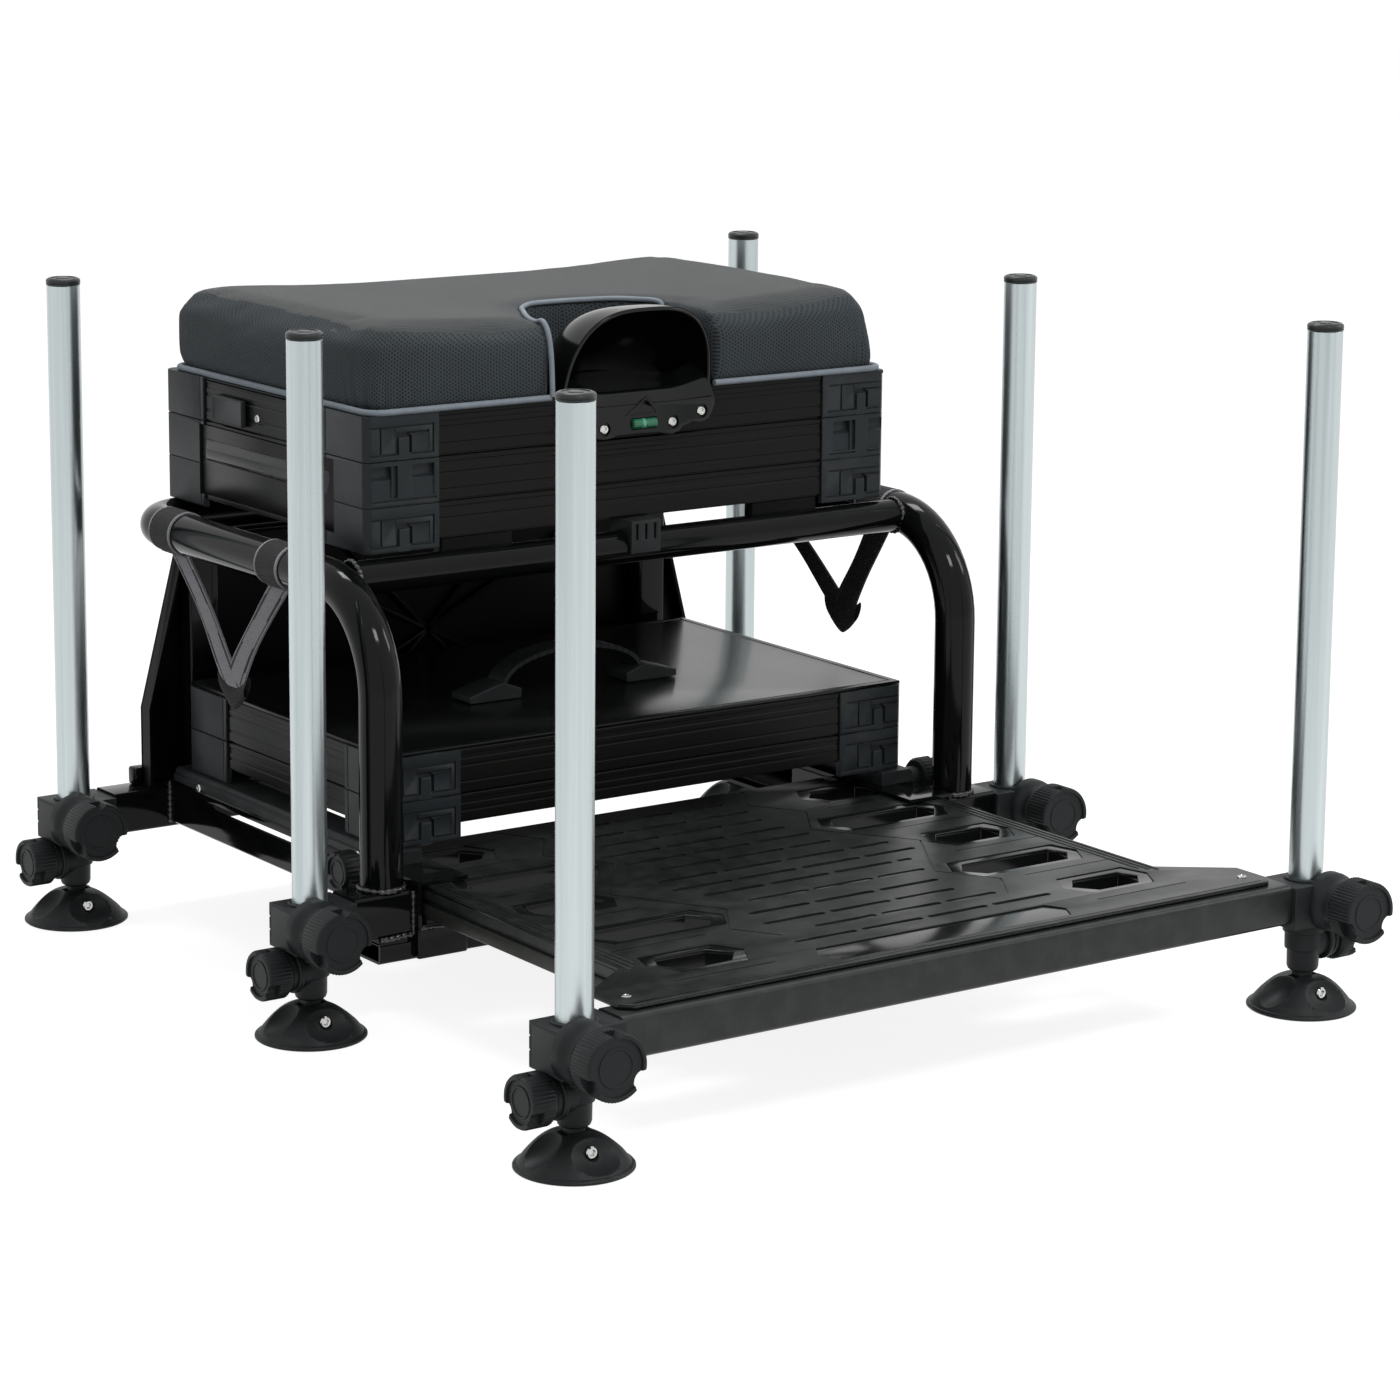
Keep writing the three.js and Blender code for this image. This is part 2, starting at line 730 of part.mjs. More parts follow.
// Base frame: rear tube, side rails with their long slots, front stubs and lower bar
function baseFrame() {
  const stubLowZ = stubTopZ - 2 * stubHalfDepth;
  const rearTubeBackY = rearLegY + stubHalfDepth;
  const lowerBarTopZ = lowerBarBottomZ + lowerBarHeight;
  const railEndY = rearTubeFrontY + bite;
  const bores = [
    boreAlongX(-stubEndX - overrun, stubEndX + overrun, rearTubeFrontY, rearTubeBackY, stubLowZ, stubTopZ),
    boreAlongX(
      -lowerBarHalf - overrun, lowerBarHalf + overrun, -stubHalfDepth, stubHalfDepth,
      lowerBarBottomZ, lowerBarTopZ),
  ];
  let whole = join(
    box(-stubEndX, stubEndX, rearTubeFrontY, rearTubeBackY, stubLowZ, stubTopZ),
    box(-lowerBarHalf, lowerBarHalf, -stubHalfDepth, stubHalfDepth, lowerBarBottomZ, lowerBarTopZ));
  for (const side of [-1, 1]) {
    const rail = cut(
      join(
        box(side * railInnerX, side * railOuterX, railFrontY, railEndY, railBottomZ, railTopZ),
        box(side * runnerInnerX, side * railOuterX, runnerFrontY, railEndY, railTopZ - bite, runnerTopZ),
        box(
          side * railInnerX, side * railOuterX, railFrontY, stubHalfDepth,
          lowerBarBottomZ + bite, railBottomZ + bite)),
      box(
        side * (railInnerX - overrun), side * (railOuterX - railWall),
        railFrontY - overrun, rearTubeFrontY - railWall, railBottomZ + railWall, railTopZ - railWall + gap),
      box(
        side * (railOuterX - overrun), side * (railOuterX + overrun), railSlotStartY, railSlotEndY,
        railSlotZ - railSlotHeight / 2, railSlotZ + railSlotHeight / 2));
    const stub = box(
      side * (railOuterX - bite), side * stubEndX, -stubHalfDepth, stubHalfDepth, stubLowZ, stubTopZ);
    const drop = box(
      side * (railOuterX - bite), side * lowerBarHalf, -stubHalfDepth, stubHalfDepth,
      lowerBarBottomZ, stubLowZ + bite);
    const glide = box(
      side * (deckHalfX - plateRailWidth + gap), side * (deckHalfX - gap), railFrontY, railEndY,
      railBottomZ + railWall - bite, plateRailTopZ - plateRailHeight - gap);
    const studHole = rod(
      slideStudRadius + studClearance, at(side * (railOuterX - railWall), slideLockY, slideLockZ),
      at(side * (railOuterX + overrun), slideLockY, slideLockZ), smallSides);
    whole = cut(join(whole, rail, stub, drop, glide), studHole);
    bores.push(boreAlongX(
      side * railOuterX, side * (stubEndX + overrun), -stubHalfDepth, stubHalfDepth, stubLowZ, stubTopZ));
  }
  const uprightRoom = box(
    -stubEndX, stubEndX, hoopRearY - uprightDepth / 2 - gap, rearLegY,
    stubTopZ, stubTopZ + hoopRadius + overrun);
  return cut(whole, uprightRoom, ...bores);
}

// The hoop's centre line, as a solid tube of the given radius from the given height
function hoop(radius, baseZ, sides) {
  const corner = (x, y, z, bend) => ({ point: at(x, y, z), radius: bend });
  const route = roundedRoute([
    corner(-hoopX, frontLegY, baseZ, 0),
    corner(-hoopX, frontLegY, hoopZ, hoopBend),
    corner(-hoopX, hoopRearY, hoopZ, hoopCornerBend),
    corner(hoopX, hoopRearY, hoopZ, hoopCornerBend),
    corner(hoopX, frontLegY, hoopZ, hoopBend),
    corner(hoopX, frontLegY, baseZ, 0),
  ], bendSteps);
  return tubeAlong(route, radius, sides);
}

// The uprights stand under the rear run, clear of its bore
function topFrame() {
  const baseZ = stubTopZ + gap;
  const uprights = [-1, 1].map((side) => box(
    side * uprightX - uprightWidth / 2, side * uprightX + uprightWidth / 2,
    hoopRearY - uprightDepth / 2, hoopRearY + uprightDepth / 2, baseZ, hoopZ));
  return cut(
    join(hoop(hoopRadius, baseZ, hoopSides), ...uprights),
    hoop(hoopRadius - tubeWall, baseZ - overrun, smallSides));
}

// The cross tube's ends are coped to sit against the hoop, and two pads on it carry the seat unit
function frontCrossTube() {
  const whole = rod(crossRadius, at(-hoopX, crossY, hoopZ), at(hoopX, crossY, hoopZ), hoopSides);
  const pads = [-1, 1].map((side) => box(
    side * padInnerX, side * padOuterX, crossY, crossY + padDepth, hoopZ, seatUnderZ));
  const reach = hoopX + overrun;
  const bore = rod(crossRadius - tubeWall, at(-reach, crossY, hoopZ), at(reach, crossY, hoopZ), smallSides);
  return cut(join(whole, ...pads), bore, hoop(hoopRadius + gap, stubTopZ, hoopSides));
}

// A clip over the middle of the cross tube
function seatClip() {
  const body = box(
    -clipHalfX, clipHalfX, crossY - crossRadius - clipThick, crossY + crossRadius + clipThick,
    hoopZ - clipThick, seatUnderZ);
  const seat = rod(
    crossRadius + gap, at(-clipHalfX - overrun, crossY, hoopZ),
    at(clipHalfX + overrun, crossY, hoopZ), hoopSides);
  const mouth = box(
    -clipHalfX - overrun, clipHalfX + overrun, crossY - crossRadius, crossY + crossRadius,
    hoopZ - crossRadius, hoopZ);
  return cut(body, seat, mouth);
}

function rearPanel() {
  const bottomZ = stubTopZ + gap;
  const outline = (inset) => [
    [-panelKneeX + inset, bottomZ + inset],
    [panelKneeX - inset, bottomZ + inset],
    [panelKneeX - inset, panelKneeZ],
    [panelTopX - inset, panelTopZ - inset],
    [-panelTopX + inset, panelTopZ - inset],
    [-panelKneeX + inset, panelKneeZ],
  ];
  const innerFaceY = panelBackY - panelThick;
  const shell = cut(
    prism(outline(0), 'y', innerFaceY - panelFlange, panelBackY),
    prism(outline(panelThick), 'y', innerFaceY - panelFlange - overrun, innerFaceY));
  const ribX = uprightX + uprightWidth / 2 + panelRibWide;
  const uprightBackY = hoopRearY + uprightDepth / 2 + gap;
  const clear = join(...[-1, 1].map((side) => box(
    side * (uprightX - uprightWidth), side * ribX,
    innerFaceY - panelFlange - overrun, uprightBackY, 0, hoopZ)));
  return cut(shell, clear);
}

// Footplate: a front bar and two side rails of square tube, with the moulded deck on top
function footplateFrame() {
  const barRearY = barFrontY + barDepth;
  const railLowZ = plateRailTopZ - plateRailHeight;
  let whole = box(-stubEndX, stubEndX, barFrontY, barRearY, barBottomZ, barTopZ);
  const bores = [boreAlongX(-stubEndX - overrun, stubEndX + overrun, barFrontY, barRearY, barBottomZ, barTopZ)];
  for (const side of [-1, 1]) {
    const innerX = side * (deckHalfX - plateRailWidth);
    const outerX = side * deckHalfX;
    whole = join(whole, box(innerX, outerX, barRearY - bite, deckRearY, railLowZ, plateRailTopZ));
    bores.push(box(
      innerX + side * tubeWall, outerX - side * tubeWall, barRearY + bite, deckRearY + overrun,
      railLowZ + tubeWall, plateRailTopZ - tubeWall));
  }
  return cut(whole, ...bores);
}

// The deck's windows alternate between a narrow one and a wide one towards the rear
function footplateDeck() {
  const tabShoulderY = deckTabY - deckTabSlope;
  const outline = [
    [-deckHalfX, deckRearY], [-deckHalfX, deckTabY], [-deckTabX, tabShoulderY], [-deckTabX, deckFrontY],
    [deckTabX, deckFrontY], [deckTabX, tabShoulderY], [deckHalfX, deckTabY], [deckHalfX, deckRearY],
  ];
  let deck = prism(outline, 'z', deckTopZ - deckThick, deckTopZ);
  for (let row = 0; row < windowRows; row += 1) {
    const y = windowFirstY + row * windowPitch;
    const innerX = windowOuterX - (row % 2 === 0 ? windowShort : windowLong);
    for (const side of [-1, 1]) {
      const window = [
        [side * innerX, y], [side * (innerX + windowPoint), y - windowHalf],
        [side * (windowOuterX - windowPoint), y - windowHalf], [side * windowOuterX, y],
        [side * (windowOuterX - windowHeel), y + windowHalf], [side * (innerX + windowPoint), y + windowHalf],
      ];
      deck = cut(deck, prism(window, 'z', deckTopZ - deckThick - overrun, deckTopZ + overrun));
    }
  }
  return deck;
}

// A hollow tier with proud corner mouldings. open says which faces are left open.
function tier(frontY, rearY, bottomZ, topZ, floorZ, open) {
  const x = unitHalfX;
  const inner = cornerProud + trayWall;
  const corners = [
    [-x + cornerChamfer, frontY], [x - cornerChamfer, frontY], [x, frontY + cornerChamfer],
    [x, rearY - cornerChamfer], [x - cornerChamfer, rearY], [-x + cornerChamfer, rearY],
    [-x, rearY - cornerChamfer], [-x, frontY + cornerChamfer],
  ];
  const mass = prism(corners, 'z', bottomZ, topZ);
  const span = x - cornerWidth;
  const sideFrontY = frontY + cornerWidth;
  const sideRearY = rearY - cornerWidth;
  const [lowZ, highZ] = [bottomZ - overrun, topZ + overrun];
  const panelRelief = [
    box(-span, span, frontY - overrun, frontY + cornerProud, lowZ, highZ),
    box(-span, span, rearY - cornerProud, rearY + overrun, lowZ, highZ),
    box(-x - overrun, -x + cornerProud, sideFrontY, sideRearY, lowZ, highZ),
    box(x - cornerProud, x + overrun, sideFrontY, sideRearY, lowZ, highZ),
  ];
  const hollowLow = open === 'below' ? lowZ : floorZ + trayFloor;
  const hollowHigh = open === 'below' ? topZ - trayWall : highZ;
  const hollow = box(-x + inner, x - inner, frontY + inner, rearY - inner, hollowLow, hollowHigh);
  let shape = cut(mass, ...panelRelief, hollow);
  if (floorZ > bottomZ) {
    shape = cut(
      shape,
      box(-span, span, frontY - overrun, rearY + overrun, lowZ, floorZ),
      box(-x - overrun, x + overrun, sideFrontY, sideRearY, lowZ, floorZ));
  }
  return shape;
}

const hingeY = seatRearY + hingeBack;

function hingeEar(x, low, high) {
  const ear = rod(
    hingeEarRadius, at(x, hingeY, lidJointZ), at(x + hingeEarWidth, hingeY, lidJointZ), smallSides);
  const web = box(x, x + hingeEarWidth, seatRearY - trayWall, hingeY, low, high);
  return join(ear, web);
}

function hingeHole() {
  const reach = unitHalfX + overrun;
  return rod(hingePinRadius + pinRoom, at(-reach, hingeY, lidJointZ), at(reach, hingeY, lidJointZ), smallSides);
}

function seatBase() {
  const shell = tier(seatFrontY, seatRearY, lidJointZ + gap, tierTopZ, 0, 'below');
  const ears = [-1, 1].map((side) => hingeEar(
    side * hingeX - (side > 0 ? 0 : hingeEarWidth) - side * (hingeEarWidth + gap),
    lidJointZ + gap, lidJointZ + hingeEarRadius));
  return cut(join(shell, ...ears), hingeHole());
}

function deepTray() {
  const shell = tier(seatFrontY, seatRearY, seatBottomZ, lidJointZ, seatBottomZ + cornerFoot, 'above');
  const inner = unitHalfX - cornerProud - trayWall + bite;
  const shelf = box(-inner, inner, seatFrontY + trayWall, seatRearY - trayWall, shelfZ, shelfZ + trayFloor);
  const doorX = -unitHalfX + cornerProud + trayWall + gap;
  const doorway = box(
    -unitHalfX - overrun, doorX, drawerFrontY - gap, drawerRearY + gap,
    drawerBottomZ - gap, lidJointZ - drawerLip + gap);
  const upstand = box(doorX, doorX + trayWall, drawerFrontY - bite, drawerRearY + bite, shelfZ, lidJointZ);
  const runnerTop = drawerBottomZ - gap;
  const runner = (y) => box(
    doorX + trayWall, doorX + drawerDepth, y, y + drawerInset, runnerTop - trayFloor, runnerTop);
  const ears = [-1, 1].map((side) => hingeEar(
    side * hingeX - (side > 0 ? 0 : hingeEarWidth), lidJointZ - hingeEarRadius, lidJointZ - gap));
  return cut(
    join(
      cut(join(shell, shelf), doorway), upstand,
      runner(drawerFrontY + drawerInset), runner(drawerRearY - 2 * drawerInset), ...ears),
    hingeHole());
}

function sideDrawer() {
  const faceX = -unitHalfX + cornerProud;
  const front = box(faceX, faceX + trayWall, drawerFrontY, drawerRearY, drawerBottomZ, lidJointZ - drawerLip);
  const bodyTop = shelfZ - gap - bite;
  const bodyFloor = drawerBottomZ;
  const bodyFrontY = drawerFrontY + drawerInset;
  const bodyRearY = drawerRearY - drawerInset;
  const body = cut(
    box(faceX + trayWall - bite, faceX + drawerDepth, bodyFrontY, bodyRearY, bodyFloor, bodyTop),
    box(
      faceX + trayWall, faceX + drawerDepth - drawerWall, bodyFrontY + drawerWall,
      bodyRearY - drawerWall, bodyFloor + drawerWall, bodyTop + overrun));
  const lipX = faceX - pullProud + cornerProud;
  const [edgeLow, edgeHigh] = pullEdgeShares;
  const pull = prism([
    [faceX + bite, pullZ + pullHeight],
    [lipX, pullZ + pullHeight * edgeHigh],
    [lipX, pullZ + pullHeight * edgeLow],
    [faceX, pullZ],
    [faceX + bite, pullZ],
  ], 'y', drawerFrontY + pullMargin, drawerRearY - pullMargin);
  return join(front, body, pull);
}

function lidCatch() {
  const faceX = -unitHalfX + cornerProud - gap;
  return prism([
    [faceX, catchBottomZ],
    [faceX - catchProud, catchBottomZ + catchProud / 2],
    [faceX - catchProud, catchBottomZ + catchHeight - catchProud / 2],
    [faceX, catchBottomZ + catchHeight],
  ], 'y', catchFrontY, catchRearY);
}

function caseTier(bottomZ, topZ) {
  return tier(caseFrontY, caseRearY, bottomZ, topZ, bottomZ, 'above');
}

function caseLid() {
  return box(
    -unitHalfX + lidMargin, unitHalfX - lidMargin, caseFrontY + lidMargin, caseRearY - lidMargin,
    caseTopZ + gap, caseTopZ + gap + lidThick);
}

function carryHandle() {
  const baseZ = lidTopZ + gap;
  const wedge = (side) => prism([
    [side * handleEndX, baseZ], [side * handleFootX, baseZ], [side * handleFootX, baseZ + handleFootToe],
    [side * handlePeakX, baseZ + handleFootHigh], [side * handleEndX, baseZ + handleFootTip],
  ], 'y', handleY - handleFootHalf, handleY + handleFootHalf);
  const low = baseZ + handleSpringZ;
  const rise = handleRise - handleSpringZ;
  const arch = (reach, height, angle) => [reach * Math.cos(angle), low + height * Math.sin(angle)];
  const outer = [];
  const innerEdge = [];
  for (let k = 0; k <= handleSteps; k += 1) {
    const angle = Math.PI * k / handleSteps;
    outer.push(arch(handlePeakX, rise, angle));
    innerEdge.unshift(arch(handlePeakX - handleStrapThick, rise - handleStrapThick, angle));
  }
  const strap = prism([...outer, ...innerEdge], 'y', handleY - handleStrapHalf, handleY + handleStrapHalf);
  return join(strap, wedge(-1), wedge(1));
}

// Cushion height over the seat base at a place given in shares of its half width and depth
function crownHeight(across, along) {
  const horn = cushionHorn * Math.pow(Math.abs(across), cushionHornPower);
  return cushionHeight + horn - cushionSag * Math.pow(Math.abs(along), cushionSagPower);
}

function cushion() {
  const geometry = new THREE.BoxGeometry(2, 2, 1, cushionStepsX, cushionStepsY, cushionStepsZ);
  const position = geometry.attributes.position;
  const midY = (cushionFrontY + cushionRearY) / 2;
  const halfY = (cushionRearY - cushionFrontY) / 2;
  const bottomZ = tierTopZ + gap;
  for (let i = 0; i < position.count; i += 1) {
    const [u, v, w] = [position.getX(i), position.getY(i), position.getZ(i) + 0.5];
    const edge = Math.max(Math.abs(u), Math.abs(v));
    const square = edge / (Math.hypot(u, v) || 1);
    const diagonal = 1 - Math.abs(Math.abs(u) - Math.abs(v));
    const corner = Math.pow(diagonal * edge, cushionCornerPower) / (square + 1);
    const blend = 1 - cushionCornerShare * corner;
    const over = Math.max(0, (edge - 1 + cushionRoundShare) / cushionRoundShare);
    const shoulder = Math.sqrt(Math.max(0, 1 - Math.pow(over, cushionRoundPower)));
    const height = crownHeight(u, v);
    const rim = height * cushionRimShare;
    const topZ = rim + (height - rim) * shoulder;
    const tuck = cushionTuck * Math.pow(1 - Math.min(1, w / cushionTuckShare), 2);
    const squeeze = (half) => (half - tuck * edge) * blend;
    position.setXYZ(i, u * squeeze(cushionHalfX), midY + v * squeeze(halfY), bottomZ + w * topZ);
  }
  const arc = [];
  for (let k = 0; k <= cutSteps; k += 1) {
    const angle = Math.PI / 2 * k / cutSteps;
    arc.push([
      cutHalfX - cutCorner + cutCorner * Math.cos(angle),
      cushionFrontY + cutDepth - cutCorner + cutCorner * Math.sin(angle)]);
  }
  const mirrored = arc.map(([x, y]) => [-x, y]).reverse();
  const outline = [
    [cutHalfX, cushionFrontY - 2 * overrun], ...arc, ...mirrored, [-cutHalfX, cushionFrontY - 2 * overrun],
  ];
  return cut(solid(geometry), prism(outline, 'z', bottomZ - overrun, bottomZ + 2 * cushionHeight));
}

function hoodShell(inset) {
  const shell = new THREE.SphereGeometry(1, hoodSides, hoodRings);
  shell.rotateX(Math.PI / 2);
  shell.scale(hoodHalfX - inset, hoodDepth - inset, hoodTopZ - hoodFloorZ - inset);
  shell.translate(0, hoodMouthY, hoodFloorZ);
  return solid(shell);
}

function poleHood() {
  const keep = box(-hoodHalfX, hoodHalfX, hoodMouthY, hoodMouthY + hoodDepth, hoodFloorZ, hoodTopZ);
  const underFloor = box(
    -hoodHalfX, hoodHalfX, hoodMouthY - overrun, hoodMouthY + hoodDepth, 0, hoodFloorZ + hoodWall);
  const scoop = cut(hoodShell(0).intersect(keep), cut(hoodShell(hoodWall), underFloor));
  const flangeFaceY = seatFrontY - gap;
  const flange = prism([
    [-flangeFlatX, flangeBottomZ], [flangeFlatX, flangeBottomZ], [hoodHalfX - hoodWall, flangeShoulderZ],
    [hoodHalfX, hoodFloorZ + hoodWall], [-hoodHalfX, hoodFloorZ + hoodWall],
    [-hoodHalfX + hoodWall, flangeShoulderZ],
  ], 'y', flangeFaceY - flangeThick, flangeFaceY);
  const lip = box(-hoodHalfX, hoodHalfX, hoodMouthY, flangeFaceY, hoodFloorZ - hoodWall, hoodFloorZ + hoodWall);
  const vialRoom = rod(
    vialRadius + gap, at(vialX - vialHalf - gap, flangeFaceY - flangeThick, vialZ),
    at(vialX + vialHalf + gap, flangeFaceY - flangeThick, vialZ), smallSides);
  return cut(join(scoop, flange, lip), vialRoom);
}

function spiritLevel() {
  const y = seatFrontY - gap - flangeThick;
  return rod(vialRadius, at(vialX - vialHalf, y, vialZ), at(vialX + vialHalf, y, vialZ), smallSides);
}

// A webbing loop: a wrap round the tube at each end and a V hanging between them
function strap(x, frontY, rearY, lowY, drop) {
  const lowZ = hoopZ - drop;
  const wrap = (y) => cut(
    rod(
      hoopRadius + gap + wrapThick, at(x, y - wrapWidth / 2, hoopZ),
      at(x, y + wrapWidth / 2, hoopZ), hoopSides),
    rod(hoopRadius + gap, at(x, y - wrapWidth, hoopZ), at(x, y + wrapWidth, hoopZ), hoopSides));
  const hangZ = hoopZ - hoopRadius - gap - wrapThick / 2;
  const shoulderZ = lowZ + sleeveHigh / 2;
  const outline = [
    [rearY + legHalfWidth, hangZ], [lowY + sleeveHalf, shoulderZ], [lowY + legHalfWidth, lowZ],
    [lowY - legHalfWidth, lowZ], [lowY - sleeveHalf, shoulderZ], [frontY - legHalfWidth, hangZ],
    [frontY + legHalfWidth, hangZ], [lowY, lowZ + sleeveHigh], [rearY - legHalfWidth, hangZ],
  ];
  return join(wrap(frontY), wrap(rearY), prism(outline, 'x', x - strapThick / 2, x + strapThick / 2));
}

function addSlideLock(group, name, side) {
  const mesh = makeMesh(
    name, knob(slideLockSizes, at(side, 0, 0)), 'nylon');
  mesh.position.set(side * (railOuterX + gap), slideLockY, slideLockZ);
  group.add(mesh);
}

const leftStrap = strap(-hoopX, leftStrapFrontY, leftStrapRearY, leftStrapLowY, leftStrapDrop);
const rightStrap = strap(hoopX, rightStrapFrontY, rightStrapRearY, rightStrapLowY, rightStrapDrop);

const seatBox = new THREE.Group();
for (const [place, y] of [['rear', rearLegY], ['front', frontLegY], ['plate', plateLegY]]) {
  addLeg(seatBox, `${place}_left`, -1, y);
  addLeg(seatBox, `${place}_right`, 1, y);
}
addSlideLock(seatBox, 'left_slide_lock_knob', -1);
addSlideLock(seatBox, 'right_slide_lock_knob', 1);
const hingePinReach = hingeX + hingeEarWidth;
const hingePin = rod(
  hingePinRadius, at(-hingePinReach, hingeY, lidJointZ), at(hingePinReach, hingeY, lidJointZ), smallSides);
seatBox.add(
  makeMesh('base_frame', baseFrame(), 'frame'),
  makeMesh('top_frame', topFrame(), 'frame'),
  makeMesh('front_cross_tube', frontCrossTube(), 'frame'),
  makeMesh('seat_clip', seatClip(), 'nylon'),
  makeMesh('rear_panel', rearPanel(), 'panel'),
  makeMesh('footplate_frame', footplateFrame(), 'frame'),
  makeMesh('footplate_deck', footplateDeck(), 'deck'),
  makeMesh('lower_tray', caseTier(caseBottomZ, caseSplitZ), 'extrusion'),
  makeMesh('upper_tray', caseTier(caseSplitZ + gap, caseTopZ), 'extrusion'),
  makeMesh('case_lid', caseLid(), 'lid'),
  makeMesh('carry_handle', carryHandle(), 'nylon'),
  makeMesh('deep_tray', deepTray(), 'extrusion'),
  makeMesh('side_drawer', sideDrawer(), 'extrusion'),
  makeMesh('seat_base', seatBase(), 'extrusion'),
  makeMesh('lid_hinge_pin', hingePin, 'steel'),
  makeMesh('lid_catch', lidCatch(), 'nylon'),
  makeMesh('cushion', cushion(), 'fabric'),
  makeMesh('pole_hood', poleHood(), 'gloss'),
  makeMesh('spirit_level', spiritLevel(), 'vial'),
  makeMesh('left_strap', leftStrap, 'webbingGrey'),
  makeMesh('right_strap', rightStrap, 'webbingBlack'));

export default seatBox;
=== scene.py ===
import math

import bpy
from mathutils import Euler, Matrix, Vector
from mathutils.bvhtree import BVHTree
from mathutils.geometry import interpolate_bezier


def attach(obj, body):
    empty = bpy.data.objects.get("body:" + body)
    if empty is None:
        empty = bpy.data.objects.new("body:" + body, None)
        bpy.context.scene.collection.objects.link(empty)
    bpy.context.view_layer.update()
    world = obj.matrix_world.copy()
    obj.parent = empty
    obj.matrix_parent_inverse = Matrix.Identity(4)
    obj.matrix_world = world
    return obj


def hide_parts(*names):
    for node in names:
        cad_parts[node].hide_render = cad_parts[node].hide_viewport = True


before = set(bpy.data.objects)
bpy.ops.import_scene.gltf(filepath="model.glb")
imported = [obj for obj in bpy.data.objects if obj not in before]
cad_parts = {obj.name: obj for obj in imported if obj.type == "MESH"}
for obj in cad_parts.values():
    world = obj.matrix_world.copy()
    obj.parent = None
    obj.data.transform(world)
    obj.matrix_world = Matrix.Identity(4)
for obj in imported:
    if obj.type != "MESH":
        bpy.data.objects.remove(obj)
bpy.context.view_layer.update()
print("frame loaded:", len(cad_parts), "solids")

# Sizes below are in millimetres and the helpers turn them into metres.
mm = 0.001
view = bpy.context.view_layer

# Shader helpers and the effects that several finishes share


def addNode(tree, kind, sockets=None, **settings):
    node = tree.nodes.new(kind)
    for key, value in settings.items():
        setattr(node, key, value)
    for key, value in (sockets or {}).items():
        if isinstance(value, bpy.types.NodeSocket):
            tree.links.new(value, node.inputs[key])
        else:
            node.inputs[key].default_value = value
    return node


def ramp(tree, value, low, high, bottom=0.0, top=1.0):
    node = addNode(tree, "ShaderNodeMapRange", {0: value, 1: low, 2: high, 3: bottom, 4: top})
    return node.outputs[0]


def maths(tree, operation, first, second):
    return addNode(tree, "ShaderNodeMath", {0: first, 1: second}, operation=operation).outputs[0]


def blendColours(tree, share, first, second):
    node = addNode(tree, "ShaderNodeMix", data_type="RGBA")
    for index, value in ((0, share), (6, first), (7, second)):
        if isinstance(value, bpy.types.NodeSocket):
            tree.links.new(value, node.inputs[index])
        else:
            node.inputs[index].default_value = value if index == 0 else (*value, 1)
    return node.outputs[2]


def newGroup(name, inputs, outputs):
    group = bpy.data.node_groups.new(name, "ShaderNodeTree")
    for label, value in inputs.items():
        kind = "NodeSocketVector" if isinstance(value, tuple) else "NodeSocketFloat"
        group.interface.new_socket(label, in_out="INPUT", socket_type=kind).default_value = value
    for label in outputs:
        group.interface.new_socket(label, in_out="OUTPUT", socket_type="NodeSocketFloat")
    return group, group.nodes.new("NodeGroupInput").outputs, group.nodes.new("NodeGroupOutput").inputs


# Where on its piece a shaded point lies, in metres
def objectSpot(tree):
    return tree.nodes.new("ShaderNodeTexCoord").outputs["Object"]


def noise(tree, spot, scale, detail, roughness=0.5):
    return addNode(tree, "ShaderNodeTexNoise", {
        "Vector": spot, "Scale": scale, "Detail": detail, "Roughness": roughness}).outputs[0]


# Moulded or coated grain: a fine height and a cloudy mask, stretched along an axis
grainGroup, given, result = newGroup(
    "surfaceGrain", {"Stretch": (1.0, 1.0, 1.0), "Fine": 900.0, "Cloud": 9.0}, ("Height", "Cloudy"))
drawn = addNode(
    grainGroup, "ShaderNodeVectorMath", {0: objectSpot(grainGroup), 1: given["Stretch"]},
    operation="MULTIPLY").outputs[0]
cloudy = ramp(grainGroup, noise(grainGroup, drawn, given["Cloud"], 5.0, 0.62), 0.32, 0.68)
grainGroup.links.new(noise(grainGroup, drawn, given["Fine"], 2.0, 0.6), result["Height"])
grainGroup.links.new(cloudy, result["Cloudy"])

# Rubbed edges, and on the weld beads painted glints: where the surface is sharply convex, broken up by a
# noise
wearAndGlintGroup, given, result = newGroup("rubbedEdgesAndGlints", {"Start": 0.53, "Break Up": 60.0}, ("Mask",))
sharp = wearAndGlintGroup.nodes.new("ShaderNodeNewGeometry").outputs["Pointiness"]
sharpCrests = ramp(wearAndGlintGroup, sharp, given["Start"], maths(wearAndGlintGroup, "ADD", given["Start"], 0.07))
broken = ramp(wearAndGlintGroup, noise(wearAndGlintGroup, objectSpot(wearAndGlintGroup), given["Break Up"], 4.0), 0.42, 0.62)
wearAndGlintGroup.links.new(maths(wearAndGlintGroup, "MULTIPLY", sharpCrests, broken), result["Mask"])

# Settled dust and handling marks on faces that look up
dustGroup, given, result = newGroup("restingDust", {"Scale": 26.0}, ("Mask",))
facing = dustGroup.nodes.new("ShaderNodeNewGeometry").outputs["Normal"]
upward = ramp(dustGroup, addNode(dustGroup, "ShaderNodeSeparateXYZ", {0: facing}).outputs[2], 0.2, 0.95)
specks = ramp(dustGroup, noise(dustGroup, objectSpot(dustGroup), given["Scale"], 8.0, 0.75), 0.5, 0.78)
dustGroup.links.new(maths(dustGroup, "MULTIPLY", upward, specks), result["Mask"])

# Camera, floor and lamps

shot = {
    "place": (-1682.4, -2404.7, 859.3),
    "yaw": -35.232, "pitch": 10.641, "roll": 0.458,
    "focal": 4078.8, "middleDown": 560, "image": 1400, "sensor": 36.0,
}


